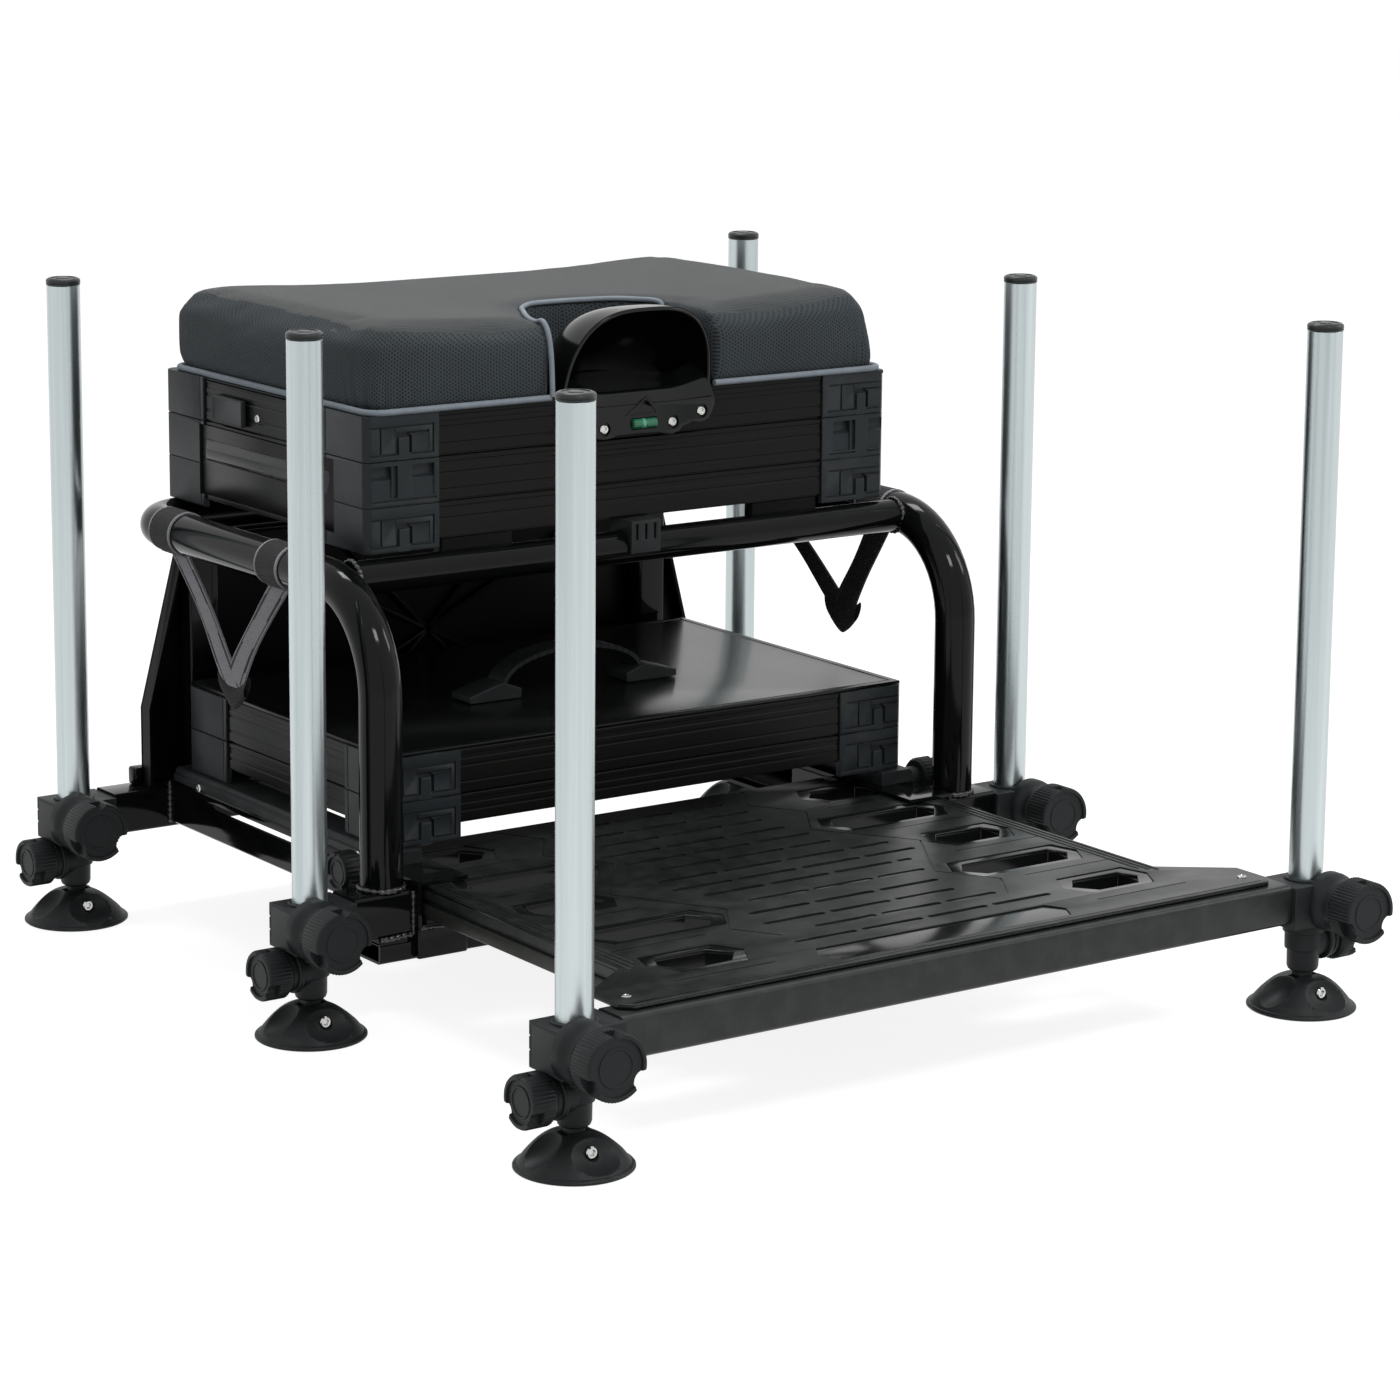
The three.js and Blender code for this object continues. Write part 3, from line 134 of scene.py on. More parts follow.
def placeCamera():
    yaw, pitch, roll = (math.radians(shot[k]) for k in ("yaw", "pitch", "roll"))
    ahead = Vector((-math.sin(yaw) * math.cos(pitch), math.cos(yaw) * math.cos(pitch), -math.sin(pitch)))
    level = Vector((math.cos(yaw), math.sin(yaw), 0))
    above = level.cross(ahead)
    right = level * math.cos(roll) + above * math.sin(roll)
    above = right.cross(ahead)
    turn = Matrix((right, above, -ahead)).transposed().to_4x4()
    lens = bpy.data.cameras.new("camera")
    camera = bpy.data.objects.new("camera", lens)
    bpy.context.scene.collection.objects.link(camera)
    camera.matrix_world = Matrix.Translation(Vector(shot["place"]) * mm) @ turn
    lens.sensor_width = shot["sensor"]
    lens.lens = shot["focal"] / shot["image"] * shot["sensor"]
    lens.shift_y = (shot["middleDown"] - shot["image"] / 2) / shot["image"]
    lens.clip_start = 0.05
    lens.clip_end = 60
    bpy.context.scene.camera = camera


lamps = {
    "key": {"place": (-0.25, -2.25, 2.75), "aim": (0, 0, 0.3), "size": (0.85, 0.6), "power": 28},
    "side": {"place": (2.5, -1.3, 1.9), "aim": (0, -0.1, 0.25), "size": (0.6, 0.9), "power": 13},
    "top": {"place": (0.3, 1.0, 2.7), "aim": (0, 0.1, 0.3), "size": (1.3, 0.5), "power": 26},
}


def placeLamps():
    for name, lamp in lamps.items():
        light = bpy.data.lights.new(name, "AREA")
        light.shape = "RECTANGLE"
        light.size, light.size_y = lamp["size"]
        light.energy = lamp["power"]
        holder = bpy.data.objects.new(name, light)
        bpy.context.scene.collection.objects.link(holder)
        holder.location = lamp["place"]
        aim = Vector(lamp["aim"]) - Vector(lamp["place"])
        holder.rotation_euler = aim.to_track_quat("-Z", "Y").to_euler()


room = {"light": 0.36, "white": 1.0, "floorColour": 0.4, "floorGlow": 0.87, "floorHalf": 14}


# 1 for the rays that see the background: from the camera, in gloss and through glass
def whiteRays(tree):
    path = tree.nodes.new("ShaderNodeLightPath").outputs
    glossy = maths(tree, "MAXIMUM", path["Is Camera Ray"], path["Is Glossy Ray"])
    return maths(tree, "MAXIMUM", glossy, path["Is Transmission Ray"])


def emptyTree(holder):
    holder.use_nodes = True
    holder.node_tree.nodes.clear()
    return holder.node_tree


# A white background over dimmer light, and a floor that shows white but takes shadows
def buildRoom():
    world = bpy.data.worlds.new("room")
    bpy.context.scene.world = world
    tree = emptyTree(world)
    dim, white = (
        addNode(tree, "ShaderNodeBackground", {"Color": (1, 1, 1, 1), "Strength": room[key]}).outputs[0]
        for key in ("light", "white"))
    mix = addNode(tree, "ShaderNodeMixShader", {0: whiteRays(tree), 1: dim, 2: white})
    addNode(tree, "ShaderNodeOutputWorld", {0: mix.outputs[0]})

    bpy.ops.object.select_all(action="DESELECT")
    bpy.ops.mesh.primitive_plane_add(size=2 * room["floorHalf"], location=(0, 0, 0))
    floor = bpy.context.object
    floor.name = "floor"
    finish = bpy.data.materials.new("paper_floor")
    tree = emptyTree(finish)
    paper = addNode(tree, "ShaderNodeBsdfDiffuse", {"Color": (room["floorColour"],) * 3 + (1,)})
    level = maths(tree, "MULTIPLY", whiteRays(tree), room["floorGlow"])
    glow = addNode(tree, "ShaderNodeEmission", {"Strength": level})
    both = addNode(tree, "ShaderNodeAddShader", {0: paper.outputs[0], 1: glow.outputs[0]})
    addNode(tree, "ShaderNodeOutputMaterial", {0: both.outputs[0]})
    floor.data.materials.append(finish)


bpy.context.scene.view_settings.view_transform = "Standard"
placeCamera()
placeLamps()
buildRoom()
print("camera, lamps and floor placed")

# Finishes


def startFinish(name):
    finish = bpy.data.materials.new(name)
    finish.use_nodes = True
    tree = finish.node_tree
    return finish, tree, tree.nodes["Principled BSDF"]


# grain is the scale of the fine noise and of the clouds, and rough the range of the roughness
def makeFinish(name, dark, light, rough, grain=(900.0, 9.0), stretch=(1.0, 1.0, 1.0), bump=0.1,
               bumpDepth=0.05, wearAndGlints=None, dusty=None, metallic=0.0, specular=0.5):
    finish, tree, shader = startFinish(name)
    surface = addNode(tree, "ShaderNodeGroup", node_tree=grainGroup)
    surface.inputs["Stretch"].default_value = stretch
    surface.inputs["Fine"].default_value, surface.inputs["Cloud"].default_value = grain
    colour = blendColours(tree, surface.outputs["Cloudy"], dark, light)
    for group, marks in ((wearAndGlintGroup, wearAndGlints), (dustGroup, dusty)):
        if marks:
            mask = addNode(tree, "ShaderNodeGroup", node_tree=group).outputs["Mask"]
            share = maths(tree, "MULTIPLY", mask, marks["amount"])
            colour = blendColours(tree, share, colour, marks["colour"])
    height = addNode(tree, "ShaderNodeBump", {
        "Strength": bump, "Distance": bumpDepth * mm, "Height": surface.outputs["Height"]})
    tree.links.new(colour, shader.inputs["Base Color"])
    tree.links.new(ramp(tree, surface.outputs["Cloudy"], 0.0, 1.0, *rough), shader.inputs["Roughness"])
    tree.links.new(height.outputs[0], shader.inputs["Normal"])
    shader.inputs["Metallic"].default_value = metallic
    shader.inputs["Specular IOR Level"].default_value = specular
    return finish


paleEdge = {"amount": 0.22, "colour": (0.075, 0.08, 0.08)}
thinDust = {"amount": 0.02, "colour": (0.30, 0.31, 0.31)}

finishes = {
    "drawnTube": makeFinish(
        "drawn_aluminium", (0.40, 0.455, 0.465), (0.62, 0.675, 0.68), (0.22, 0.38), grain=(700.0, 85.0),
        stretch=(1.0, 1.0, 0.012), bump=0.3, bumpDepth=0.02, metallic=1.0),
    "nylon": makeFinish(
        "moulded_nylon", (0.0155, 0.0180, 0.0190), (0.0180, 0.0210, 0.0220), (0.44, 0.54),
        grain=(1400.0, 14.0), bump=0.35, wearAndGlints=paleEdge, dusty=thinDust, specular=0.2),
    "cap": makeFinish(
        "cap_plastic", (0.018, 0.021, 0.022), (0.022, 0.026, 0.027), (0.30, 0.40), grain=(1200.0, 30.0),
        bump=0.2, wearAndGlints=paleEdge, dusty=thinDust, specular=0.35),
    "powder": makeFinish(
        "gloss_powder_coat", (0.0034, 0.0042, 0.0038), (0.0044, 0.0053, 0.0048), (0.07, 0.12),
        grain=(420.0, 7.0), bump=0.12, bumpDepth=0.03, dusty=thinDust, specular=0.16),
    "bar": makeFinish(
        "satin_powder_coat", (0.0172, 0.0200, 0.0184), (0.0184, 0.0214, 0.0196), (0.33, 0.355),
        grain=(1500.0, 24.0), bump=0.15, bumpDepth=0.02, dusty=thinDust, wearAndGlints=paleEdge, specular=0.3),
    "steel": makeFinish(
        "polished_stainless", (0.50, 0.50, 0.49), (0.64, 0.64, 0.62), (0.14, 0.24), grain=(900.0, 80.0),
        bump=0.1, metallic=1.0),
}
print("first finishes mixed:", len(finishes))

# Modelling helpers


def onlySelect(piece):
    if bpy.context.mode != "OBJECT":
        bpy.ops.object.mode_set(mode="OBJECT")
    bpy.ops.object.select_all(action="DESELECT")
    piece.select_set(True)
    view.objects.active = piece


# The turn that lays a piece's own Z along direction, with its Y as near upright as can be
def aimed(direction):
    ahead = Vector(direction).normalized()
    guide = Vector((0, 1, 0)) if abs(ahead.z) > 0.99 else Vector((0, 0, 1))
    across = guide.cross(ahead).normalized()
    return Matrix((across, ahead.cross(across), ahead)).transposed().to_4x4()


def named(piece, name):
    piece.name = piece.data.name = name
    return piece


def settle(piece, name):
    bpy.ops.object.transform_apply(location=True, rotation=True, scale=True)
    return named(piece, name)


def addBox(name, low, high):
    bpy.ops.object.select_all(action="DESELECT")
    middle = [(a + b) / 2 * mm for a, b in zip(low, high)]
    bpy.ops.mesh.primitive_cube_add(size=1, location=middle)
    piece = bpy.context.object
    piece.scale = [abs(b - a) * mm for a, b in zip(low, high)]
    return settle(piece, name)


def addRod(name, radius, start, end, sides=32):
    bpy.ops.object.select_all(action="DESELECT")
    start, end = Vector(start) * mm, Vector(end) * mm
    along = end - start
    bpy.ops.mesh.primitive_cone_add(
        vertices=sides, radius1=radius * mm, radius2=radius * mm, depth=along.length,
        location=(start + end) / 2, rotation=aimed(along).to_euler())
    return settle(bpy.context.object, name)


def addBall(name, middle, radii, segments=32, rings=16):
    bpy.ops.object.select_all(action="DESELECT")
    bpy.ops.mesh.primitive_uv_sphere_add(
        segments=segments, ring_count=rings, radius=1, location=Vector(middle) * mm)
    bpy.context.object.scale = Vector(radii) * mm
    return settle(bpy.context.object, name)


# Opens edit mode with the faces or points that pass the test picked
def pick(piece, kind, test):
    onlySelect(piece)
    mesh = piece.data
    for group in (mesh.vertices, mesh.edges, mesh.polygons):
        group.foreach_set("select", [False] * len(group))
    if kind == "faces":
        for face in mesh.polygons:
            face.select = bool(test(face.center / mm, face.normal))
    else:
        for point in mesh.vertices:
            point.select = bool(test(point.co / mm))
    bpy.context.tool_settings.mesh_select_mode = (kind == "points", False, kind == "faces")
    bpy.ops.object.mode_set(mode="EDIT")


mergeGap = 0.002


def cleanUp(piece):
    pick(piece, "points", lambda p: True)
    bpy.ops.mesh.remove_doubles(threshold=mergeGap * mm)
    bpy.ops.mesh.normals_make_consistent(inside=False)
    bpy.ops.object.mode_set(mode="OBJECT")
    return piece


# Insets the picked faces and lifts the new rim, as often as there are (inset, lift) pairs
def insetPicked(*pairs):
    for inset, lift in pairs:
        bpy.ops.mesh.inset(thickness=inset * mm)
        bpy.ops.transform.translate(value=Vector(lift) * mm)
    bpy.ops.object.mode_set(mode="OBJECT")


def smoothBy(piece, angle=32):
    onlySelect(piece)
    bpy.ops.object.shade_smooth_by_angle(angle=math.radians(angle))
    return piece


def applyModifier(piece, kind, **settings):
    modifier = piece.modifiers.new(kind.lower(), kind)
    for key, value in settings.items():
        setattr(modifier, key, value)
    onlySelect(piece)
    bpy.ops.object.modifier_apply(modifier=modifier.name)
    return piece


def soften(piece, width, segments=2, angle=32):
    applyModifier(
        piece, "BEVEL", width=width * mm, segments=segments, limit_method="ANGLE",
        angle_limit=math.radians(angle), use_clamp_overlap=True)
    return smoothBy(piece, angle)


# The tools are used up, one at a time
def carve(piece, *tools):
    for tool in tools:
        applyModifier(piece, "BOOLEAN", operation="DIFFERENCE", solver="EXACT", object=tool)
        bpy.data.objects.remove(tool)
    return piece


def together(name, pieces):
    onlySelect(pieces[0])
    for piece in pieces:
        piece.select_set(True)
    bpy.ops.object.join()
    return named(bpy.context.object, name)


def paint(piece, *names):
    piece.data.materials.clear()
    for name in names:
        piece.data.materials.append(finishes[name])
    return piece


# A copy with its own mesh: turned, mirrored left to right where asked, and moved by shift
def copyOf(piece, name, shift=(0, 0, 0), mirrored=False, turn=None):
    twin = piece.copy()
    twin.data = piece.data.copy()
    named(twin, name)
    bpy.context.scene.collection.objects.link(twin)
    if turn:
        twin.data.transform(turn)
    if mirrored:
        twin.data.transform(Matrix.Scale(-1, 4, (1, 0, 0)))
        twin.data.flip_normals()
    twin.data.transform(Matrix.Translation(Vector(shift) * mm))
    return twin


axisTurns = {
    "z": Matrix.Identity(4),
    "y": Matrix(((1, 0, 0, 0), (0, 0, 1, 0), (0, 1, 0, 0), (0, 0, 0, 1))),
    "x": Matrix(((0, 0, 1, 0), (1, 0, 0, 0), (0, 1, 0, 0), (0, 0, 0, 1))),
}


def meshFromCurve(name, curve):
    piece = bpy.data.objects.new(name, curve)
    bpy.context.scene.collection.objects.link(piece)
    onlySelect(piece)
    bpy.ops.object.convert(target="MESH")
    return named(bpy.context.object, name)


# A flat shape drawn as closed outlines, inner ones being holes, given a thickness and rounded edges
def cutFromSheet(name, outlines, axis, start, end, edge=0.0, steps=2):
    drawing = bpy.data.curves.new(name, "CURVE")
    drawing.dimensions = "2D"
    drawing.fill_mode = "BOTH"
    for outline in outlines:
        line = drawing.splines.new("POLY")
        line.points.add(len(outline) - 1)
        for point, (u, v) in zip(line.points, outline):
            point.co = (u, v, 0, 1)
        line.use_cyclic_u = True
    drawing.extrude = abs(end - start) / 2 - edge
    drawing.bevel_depth = edge
    drawing.bevel_resolution = steps
    drawing.offset = -edge
    piece = meshFromCurve(name, drawing)
    piece.data.transform(Matrix.Translation((0, 0, (start + end) / 2)))
    piece.data.transform(Matrix.Scale(mm, 4) @ axisTurns[axis])
    return smoothBy(cleanUp(piece))


# A profile of radius and height pairs, spun about Z and then laid along the given direction
def spinProfile(name, profile, steps=48, origin=(0, 0, 0), direction=(0, 0, 1)):
    bpy.ops.object.select_all(action="DESELECT")
    bpy.ops.mesh.primitive_plane_add(size=mm)
    piece = bpy.context.object
    bpy.context.tool_settings.mesh_select_mode = (True, False, False)
    bpy.ops.object.mode_set(mode="EDIT")
    bpy.ops.mesh.merge(type="CENTER")
    bpy.ops.transform.translate(value=(profile[0][0] * mm, 0, profile[0][1] * mm))
    for (r0, h0), (r1, h1) in zip(profile, profile[1:]):
        bpy.ops.mesh.extrude_region_move(
            TRANSFORM_OT_translate={"value": ((r1 - r0) * mm, 0, (h1 - h0) * mm)})
    bpy.ops.mesh.select_all(action="SELECT")
    bpy.ops.mesh.spin(steps=steps, angle=2 * math.pi, center=(0, 0, 0), axis=(0, 0, 1))
    cleanUp(piece)
    piece.data.transform(Matrix.Translation(Vector(origin) * mm) @ aimed(direction))
    return smoothBy(named(piece, name))


# A round tube along points, whose radius may change from point to point
def pipeAlong(name, points, radius, sides=16, closed=False, shares=None):
    route = bpy.data.curves.new(name, "CURVE")
    route.dimensions = "3D"
    line = route.splines.new("POLY")
    line.points.add(len(points) - 1)
    for k, (spot, at) in enumerate(zip(line.points, points)):
        spot.co = (*at, 1)
        spot.radius = shares[k] if shares else 1
    line.use_cyclic_u = closed
    route.bevel_depth = radius
    route.bevel_resolution = max(0, sides // 2 - 2)
    route.use_fill_caps = not closed
    piece = meshFromCurve(name, route)
    piece.data.transform(Matrix.Scale(mm, 4))
    return smoothBy(cleanUp(piece), 50)


# More points along a route, with its corners rounded off
def smoothRoute(points, steps):
    points = [Vector(p) for p in points]
    route = []
    for k, (start, end) in enumerate(zip(points, points[1:])):
        before = points[k - 1] if k else start
        after = points[k + 2] if k + 2 < len(points) else end
        leave, arrive = start + (end - before) / 6, end - (after - start) / 6
        route += interpolate_bezier(start, leave, arrive, end, steps + 1)[:-1]
    return route + [points[-1]]


# A grid of unit squares bent into shape: place turns shares (u, v) into a point in millimetres
def bendGrid(name, steps, bands, place, thick):
    bpy.ops.object.select_all(action="DESELECT")
    bpy.ops.mesh.primitive_grid_add(x_subdivisions=steps, y_subdivisions=bands, size=1)
    sheet = bpy.context.object
    for point in sheet.data.vertices:
        point.co = Vector(place(point.co.x + 0.5, point.co.y + 0.5)) * mm
    named(sheet, name)
    if thick:
        applyModifier(sheet, "SOLIDIFY", thickness=thick * mm, offset=0)
    return smoothBy(cleanUp(sheet), 50)


# Hangs a piece on its body, in place of the nodes it stands for
def finishPiece(piece, body, slot, *nodes):
    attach(piece, body)
    if nodes:
        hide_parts(*nodes)
    return piece


def dress(piece, finish, body, slot, *nodes):
    return finishPiece(paint(piece, finish), body, slot, *nodes)


# A socket screw head with its hexagon, facing along direction
def screwHead(name, middle, direction, radius=3.4, height=2.2):
    facing = Vector(direction).normalized()
    head = spinProfile(name, [
        (0, -0.5), (radius, -0.5), (radius, height * 0.6), (radius * 0.82, height), (radius * 0.56, height),
        (radius * 0.5, height - 0.3), (radius * 0.5, height * 0.35), (0, height * 0.35)],
        24, middle, facing)
    return paint(head, "steel")


# Legs: what repeats is modelled once at the leg's own centre, for a left leg

legs = {"rear": 364, "front": 0, "plate": -335}
legX = 315
sides = {"left": -1, "right": 1}
legTube = {"radius": 12.5, "wall": 1.8, "bottom": 44.9, "top": 493, "cap": 12.9}


def buildLegTube():
    r, inner = legTube["radius"], legTube["radius"] - legTube["wall"]
    low, high = legTube["bottom"], legTube["top"]
    tube = spinProfile("leg_tube", [
        (inner, low), (r - 0.4, low), (r, low + 0.4), (r, high - 0.5), (r - 0.4, high), (inner, high),
        (inner, low)], 64)
    paint(tube, "drawnTube")
    c = legTube["cap"]
    plug = [
        (0, -9), (inner - 0.1, -9), (inner - 0.1, 0.1), (c - 0.3, 0.1), (c, 0.4), (c, 1.2), (c - 0.5, 1.4),
        (c - 0.5, 1.8), (c, 2.0), (c, 3.4), (c - 0.7, 4.5), (c - 2.2, 5.3), (c - 3.4, 5.4), (c - 3.8, 4.7),
        (5.2, 4.9), (5.0, 5.3), (4.2, 5.5), (0, 5.6)]
    cap = spinProfile("leg_cap", [(radius, high + above) for radius, above in plug], 64)
    paint(cap, "cap")
    return tube, cap


legBlock = {
    "low": 65, "high": 96, "half": 19, "out": 22, "in": 27, "bore": 12.75, "groove": 0.7,
    "boss": {"x": -7, "z": 82},
}


def buildLegBlock():
    b = legBlock
    body = addBox("leg_block", (-b["out"], -b["half"], b["low"]), (b["in"], b["half"], b["high"]))
    # the outer end is stepped twice, like a pressed-in end plate
    for inset, step in ((3.2, 1.0), (1.6, -1.9)):
        pick(body, "faces", lambda c, n: n.x < -0.9 and abs(c.y) < 12 and c.x < -b["out"] + 1.2)
        insetPicked((inset, (step, 0, 0)))
    hole = addRod("hole", b["bore"], (0, 0, 50), (0, 0, 110), 48)
    front, rear = (-b["half"] - 5, -b["half"] + b["groove"]), (b["half"] - b["groove"], b["half"] + 5)
    grooves = [
        addBox("groove", (-40, side[0], z - 0.5), (end, side[1], z + 0.5))
        for side, end, z in ((front, -14, 76.5), (rear, 40, 76.5), (rear, 40, 86))]
    carve(body, hole, *grooves)
    soften(body, 1.1, 3, 40)
    dome = spinProfile("boss", [
        (0, 15), (21.4, 15), (21.4, 21.2), (21.0, 23.8), (19.6, 26.2), (18.3, 28.4), (18.0, 30.0),
        (18.0, 33.2), (17.4, 34.0), (17.4, 34.8), (18.0, 35.2), (18.0, 36.4), (17.4, 37.0), (0, 37.0)],
        64, (b["boss"]["x"], 0, b["boss"]["z"]), (0, -1, 0))
    collar = spinProfile("collar", [
        (b["bore"], 94), (15.6, 94), (15.6, 97.0), (14.9, 97.7), (b["bore"], 97.7), (b["bore"], 94)], 48)
    under = spinProfile("under", [
        (b["bore"], 64.7), (17.0, 64.7), (17.4, 65.2), (17.4, 66), (b["bore"], 66), (b["bore"], 64.7)], 48)
    return paint(together("leg_block", [body, dome, collar, under]), "nylon")


knurl = 0.8


# A knob along Z with a knurled barrel, a plain collar at its front, one V notch and two scallops
def buildKnob(name, k):
    r, length, ridges = k["radius"], k["length"], k["ridges"]
    neck = k.get("neck", 0)
    start = [(0, 0)] if not neck else [(0, 0), (k["neckRadius"], 0), (k["neckRadius"], neck)]
    rim = neck + length
    body = spinProfile(name, start + [
        (r * 0.8, neck), (r * 0.9, neck + 0.6), (r - 1.0, neck + 1.8), (r, neck + 2.6), (r, rim - 1.6),
        (r - 0.5, rim - 0.9), (r - 0.9, rim - 0.2), (r - 3.0, rim), (r - 3.5, rim - 0.4),
        (r - 3.8, rim - 1.8), (r * 0.60, rim - 2.0), (r * 0.58, rim - 1.3), (r * 0.52, rim - 1.3),
        (r * 0.5, rim - 2.0), (0, rim - 1.8)], 2 * ridges)
    # every second line of the barrel is drawn in, which leaves straight knurling
    step = math.pi / ridges

    def isGroove(p):
        onBarrel = neck + 2.2 < p.z < rim - 1.2 and math.hypot(p.x, p.y) > r - knurl
        return onBarrel and round(math.atan2(p.y, p.x) / step) % 2

    pick(body, "points", isGroove)
    bpy.ops.transform.resize(value=(1 - knurl / r, 1 - knurl / r, 1), center_override=(0, 0, 0))
    bpy.ops.object.mode_set(mode="OBJECT")
    cutters = []
    # as (turn round the knob, distance out and size as shares of its radius, sides)
    for turn, out, size, corners in ((0, 1.06, 0.3, 4), (2.094, 1.08, 0.36, 20), (-2.094, 1.08, 0.36, 20)):
        middle = Vector((0, r * out, 0))
        middle.rotate(Euler((0, 0, turn)))
        cutters.append(addRod(
            "notch", r * size, middle + Vector((0, 0, rim - k["notch"])), middle + Vector((0, 0, rim + 3)),
            corners))
    carve(body, *cutters)
    return paint(soften(body, 0.3, 1, 38), "nylon")


clampKnob = {"radius": 22.5, "length": 23, "ridges": 58, "notch": 11}
lockKnob = {"radius": 18, "length": 20, "ridges": 44, "notch": 9}
slideKnob = {"radius": 15, "length": 17, "ridges": 28, "notch": 5, "neck": 13, "neckRadius": 9}

footClamp = {"top": 64.4, "barrelZ": 50, "pinZ": 12, "tongue": (6.3, 4.4)}


def buildFootClamp():
    c = footClamp
    sleeve = spinProfile("foot_clamp", [
        (12.7, 44.7), (12.7, c["top"]), (14.5, c["top"]), (15.2, c["top"] - 0.8), (15.2, 57.4),
        (14.8, 56.9), (13.7, 56.5), (13.5, 45.0), (13.1, 44.4), (11.9, 43.9), (11.7, 43.3),
        (11.5, 31.5), (10.7, 29.2), (8.8, 27.7), (7.6, 27.3), (0, 27.3), (0, 44.7), (12.7, 44.7)], 56)
    barrel = spinProfile("barrel", [
        (0, 0), (12.7, 0), (13.1, 7), (13.0, 12.4), (15.2, 12.8), (15.9, 13.6), (15.9, 16.4), (15.2, 17.2),
        (14.1, 17.4), (14.1, 18.5), (14.9, 18.8), (14.9, 21.2), (14.3, 22), (0, 22)],
        56, (0, 0, c["barrelZ"]), (-1, 0, 0))
    (x, y), z = c["tongue"], c["pinZ"]
    tongue = soften(addBox("tongue", (-x, -y, z), (x, y, 28.5)), 0.8, 2)
    knuckle = addRod("knuckle", 7, (0, -y, z), (0, y, z), 32)
    return paint(together("foot_clamp", [sleeve, barrel, tongue, knuckle]), "nylon")


mudFoot = {"radius": 39.6, "height": 24, "screwY": 18.6, "screwZ": 15}


def buildMudFoot():
    r, high = mudFoot["radius"], mudFoot["height"]
    profile = [(0, 0.0), (r - 3.2, 0.0), (r - 0.8, 0.3), (r, 1.0), (r, 2.1), (r - 0.7, 2.9), (r - 2.6, 3.6)]
    for k in range(1, 12):
        share = k / 11
        rise = math.sin(share * math.pi / 2) ** 0.95
        profile.append((r - 2.6 - (r - 13.6) * share, 3.6 + (high - 3.6) * rise))
    profile += [(9.6, high), (0, high)]
    dome = spinProfile("mud_foot", profile, 72)
    scoops = [addBall("scoop", (0, way * 44, 26), (42, 28.5, 22.5), 64, 32) for way in (-1, 1)]
    scoops += [addBall("scoop", (side * 41, 0, 27), (29.5, 20.5, 22), 64, 32) for side in (-1, 1)]
    slot = addBox("slot", (-10.4, -4.8, 4.6), (10.4, 4.8, 40))
    y, z, pinZ = mudFoot["screwY"], mudFoot["screwZ"], footClamp["pinZ"]
    seat = addRod("seat", 5.2, (0, -60, z), (0, -y, z), 32)
    nut = addRod("nut", 4.9, (0, y, z), (0, 60, z), 6)
    carve(dome, *scoops, slot, seat, nut)
    paint(soften(dome, 0.6, 2, 22), "nylon")
    screw = screwHead("mud_foot_screw", (0, -y - 0.2, z), (0, -1, 0), 4.2, 2.4)
    pin = paint(addRod("pin", 2.4, (0, -5.5, pinZ), (0, 5.5, pinZ), 24), "steel")
    return together("mud_foot", [dome, pin, screw])


tube, cap = buildLegTube()
block = buildLegBlock()
clamp = buildKnob("clamp_knob", clampKnob)
lock = buildKnob("foot_lock_knob", lockKnob)
slideLock = buildKnob("slide_lock_knob", slideKnob)
footHolder = buildFootClamp()
foot = buildMudFoot()
slideStud = {"x": 240.3, "y": 42, "z": 102}

for place, y in legs.items():
    for side, sign in sides.items():
        leg = f"{place}_{side}"
        carrier = "footplate" if place == "plate" else "frame"
        spot = (sign * legX, y, 0)
        clampSpot = (sign * (legX - legBlock["boss"]["x"]), y - 37.3, legBlock["boss"]["z"])
        lockSpot = (sign * (legX + 22.3), y, footClamp["barrelZ"])
        # as (model, name, body, node it replaces, place, turn)
        for model, part, body, node, at, turn in (
                (tube, "tube", f"{leg}_leg", "leg_tube", spot, None),
                (cap, "cap", f"{leg}_leg", None, spot, None),
                (block, "block", carrier, "leg_block", spot, None),
                (footHolder, "foot_holder", f"{leg}_leg", "foot_clamp", spot, None),
                (foot, "foot", f"{leg}_foot", "mud_foot", spot, None),
                (clamp, "clamp", f"{leg}_clamp", "clamp_knob", clampSpot, aimed((0, -1, 0))),
                (lock, "lock", f"{leg}_foot_lock", "foot_lock_knob", lockSpot, aimed((sign, 0, 0)))):
            mirrored = sign > 0 and model in (block, footHolder)
            twin = copyOf(model, f"{leg}_{part}", at, mirrored, turn)
            slot = "leg_aluminium" if model is tube else "black_nylon"
            finishPiece(twin, body, slot, *([f"{leg}_{node}"] if node else []))
for side, sign in sides.items():
    spot = (sign * slideStud["x"], slideStud["y"], slideStud["z"])
    twin = copyOf(slideLock, f"{side}_slide_lock", spot, turn=aimed((sign, 0, 0)))
    finishPiece(twin, f"{side}_slide_lock", "black_nylon", f"{side}_slide_lock_knob")
for model in (tube, cap, block, clamp, lock, slideLock, footHolder, foot):
    bpy.data.objects.remove(model)
print("legs, knobs and feet built")

# Finishes of the frame, the trays, the seat and the webbing

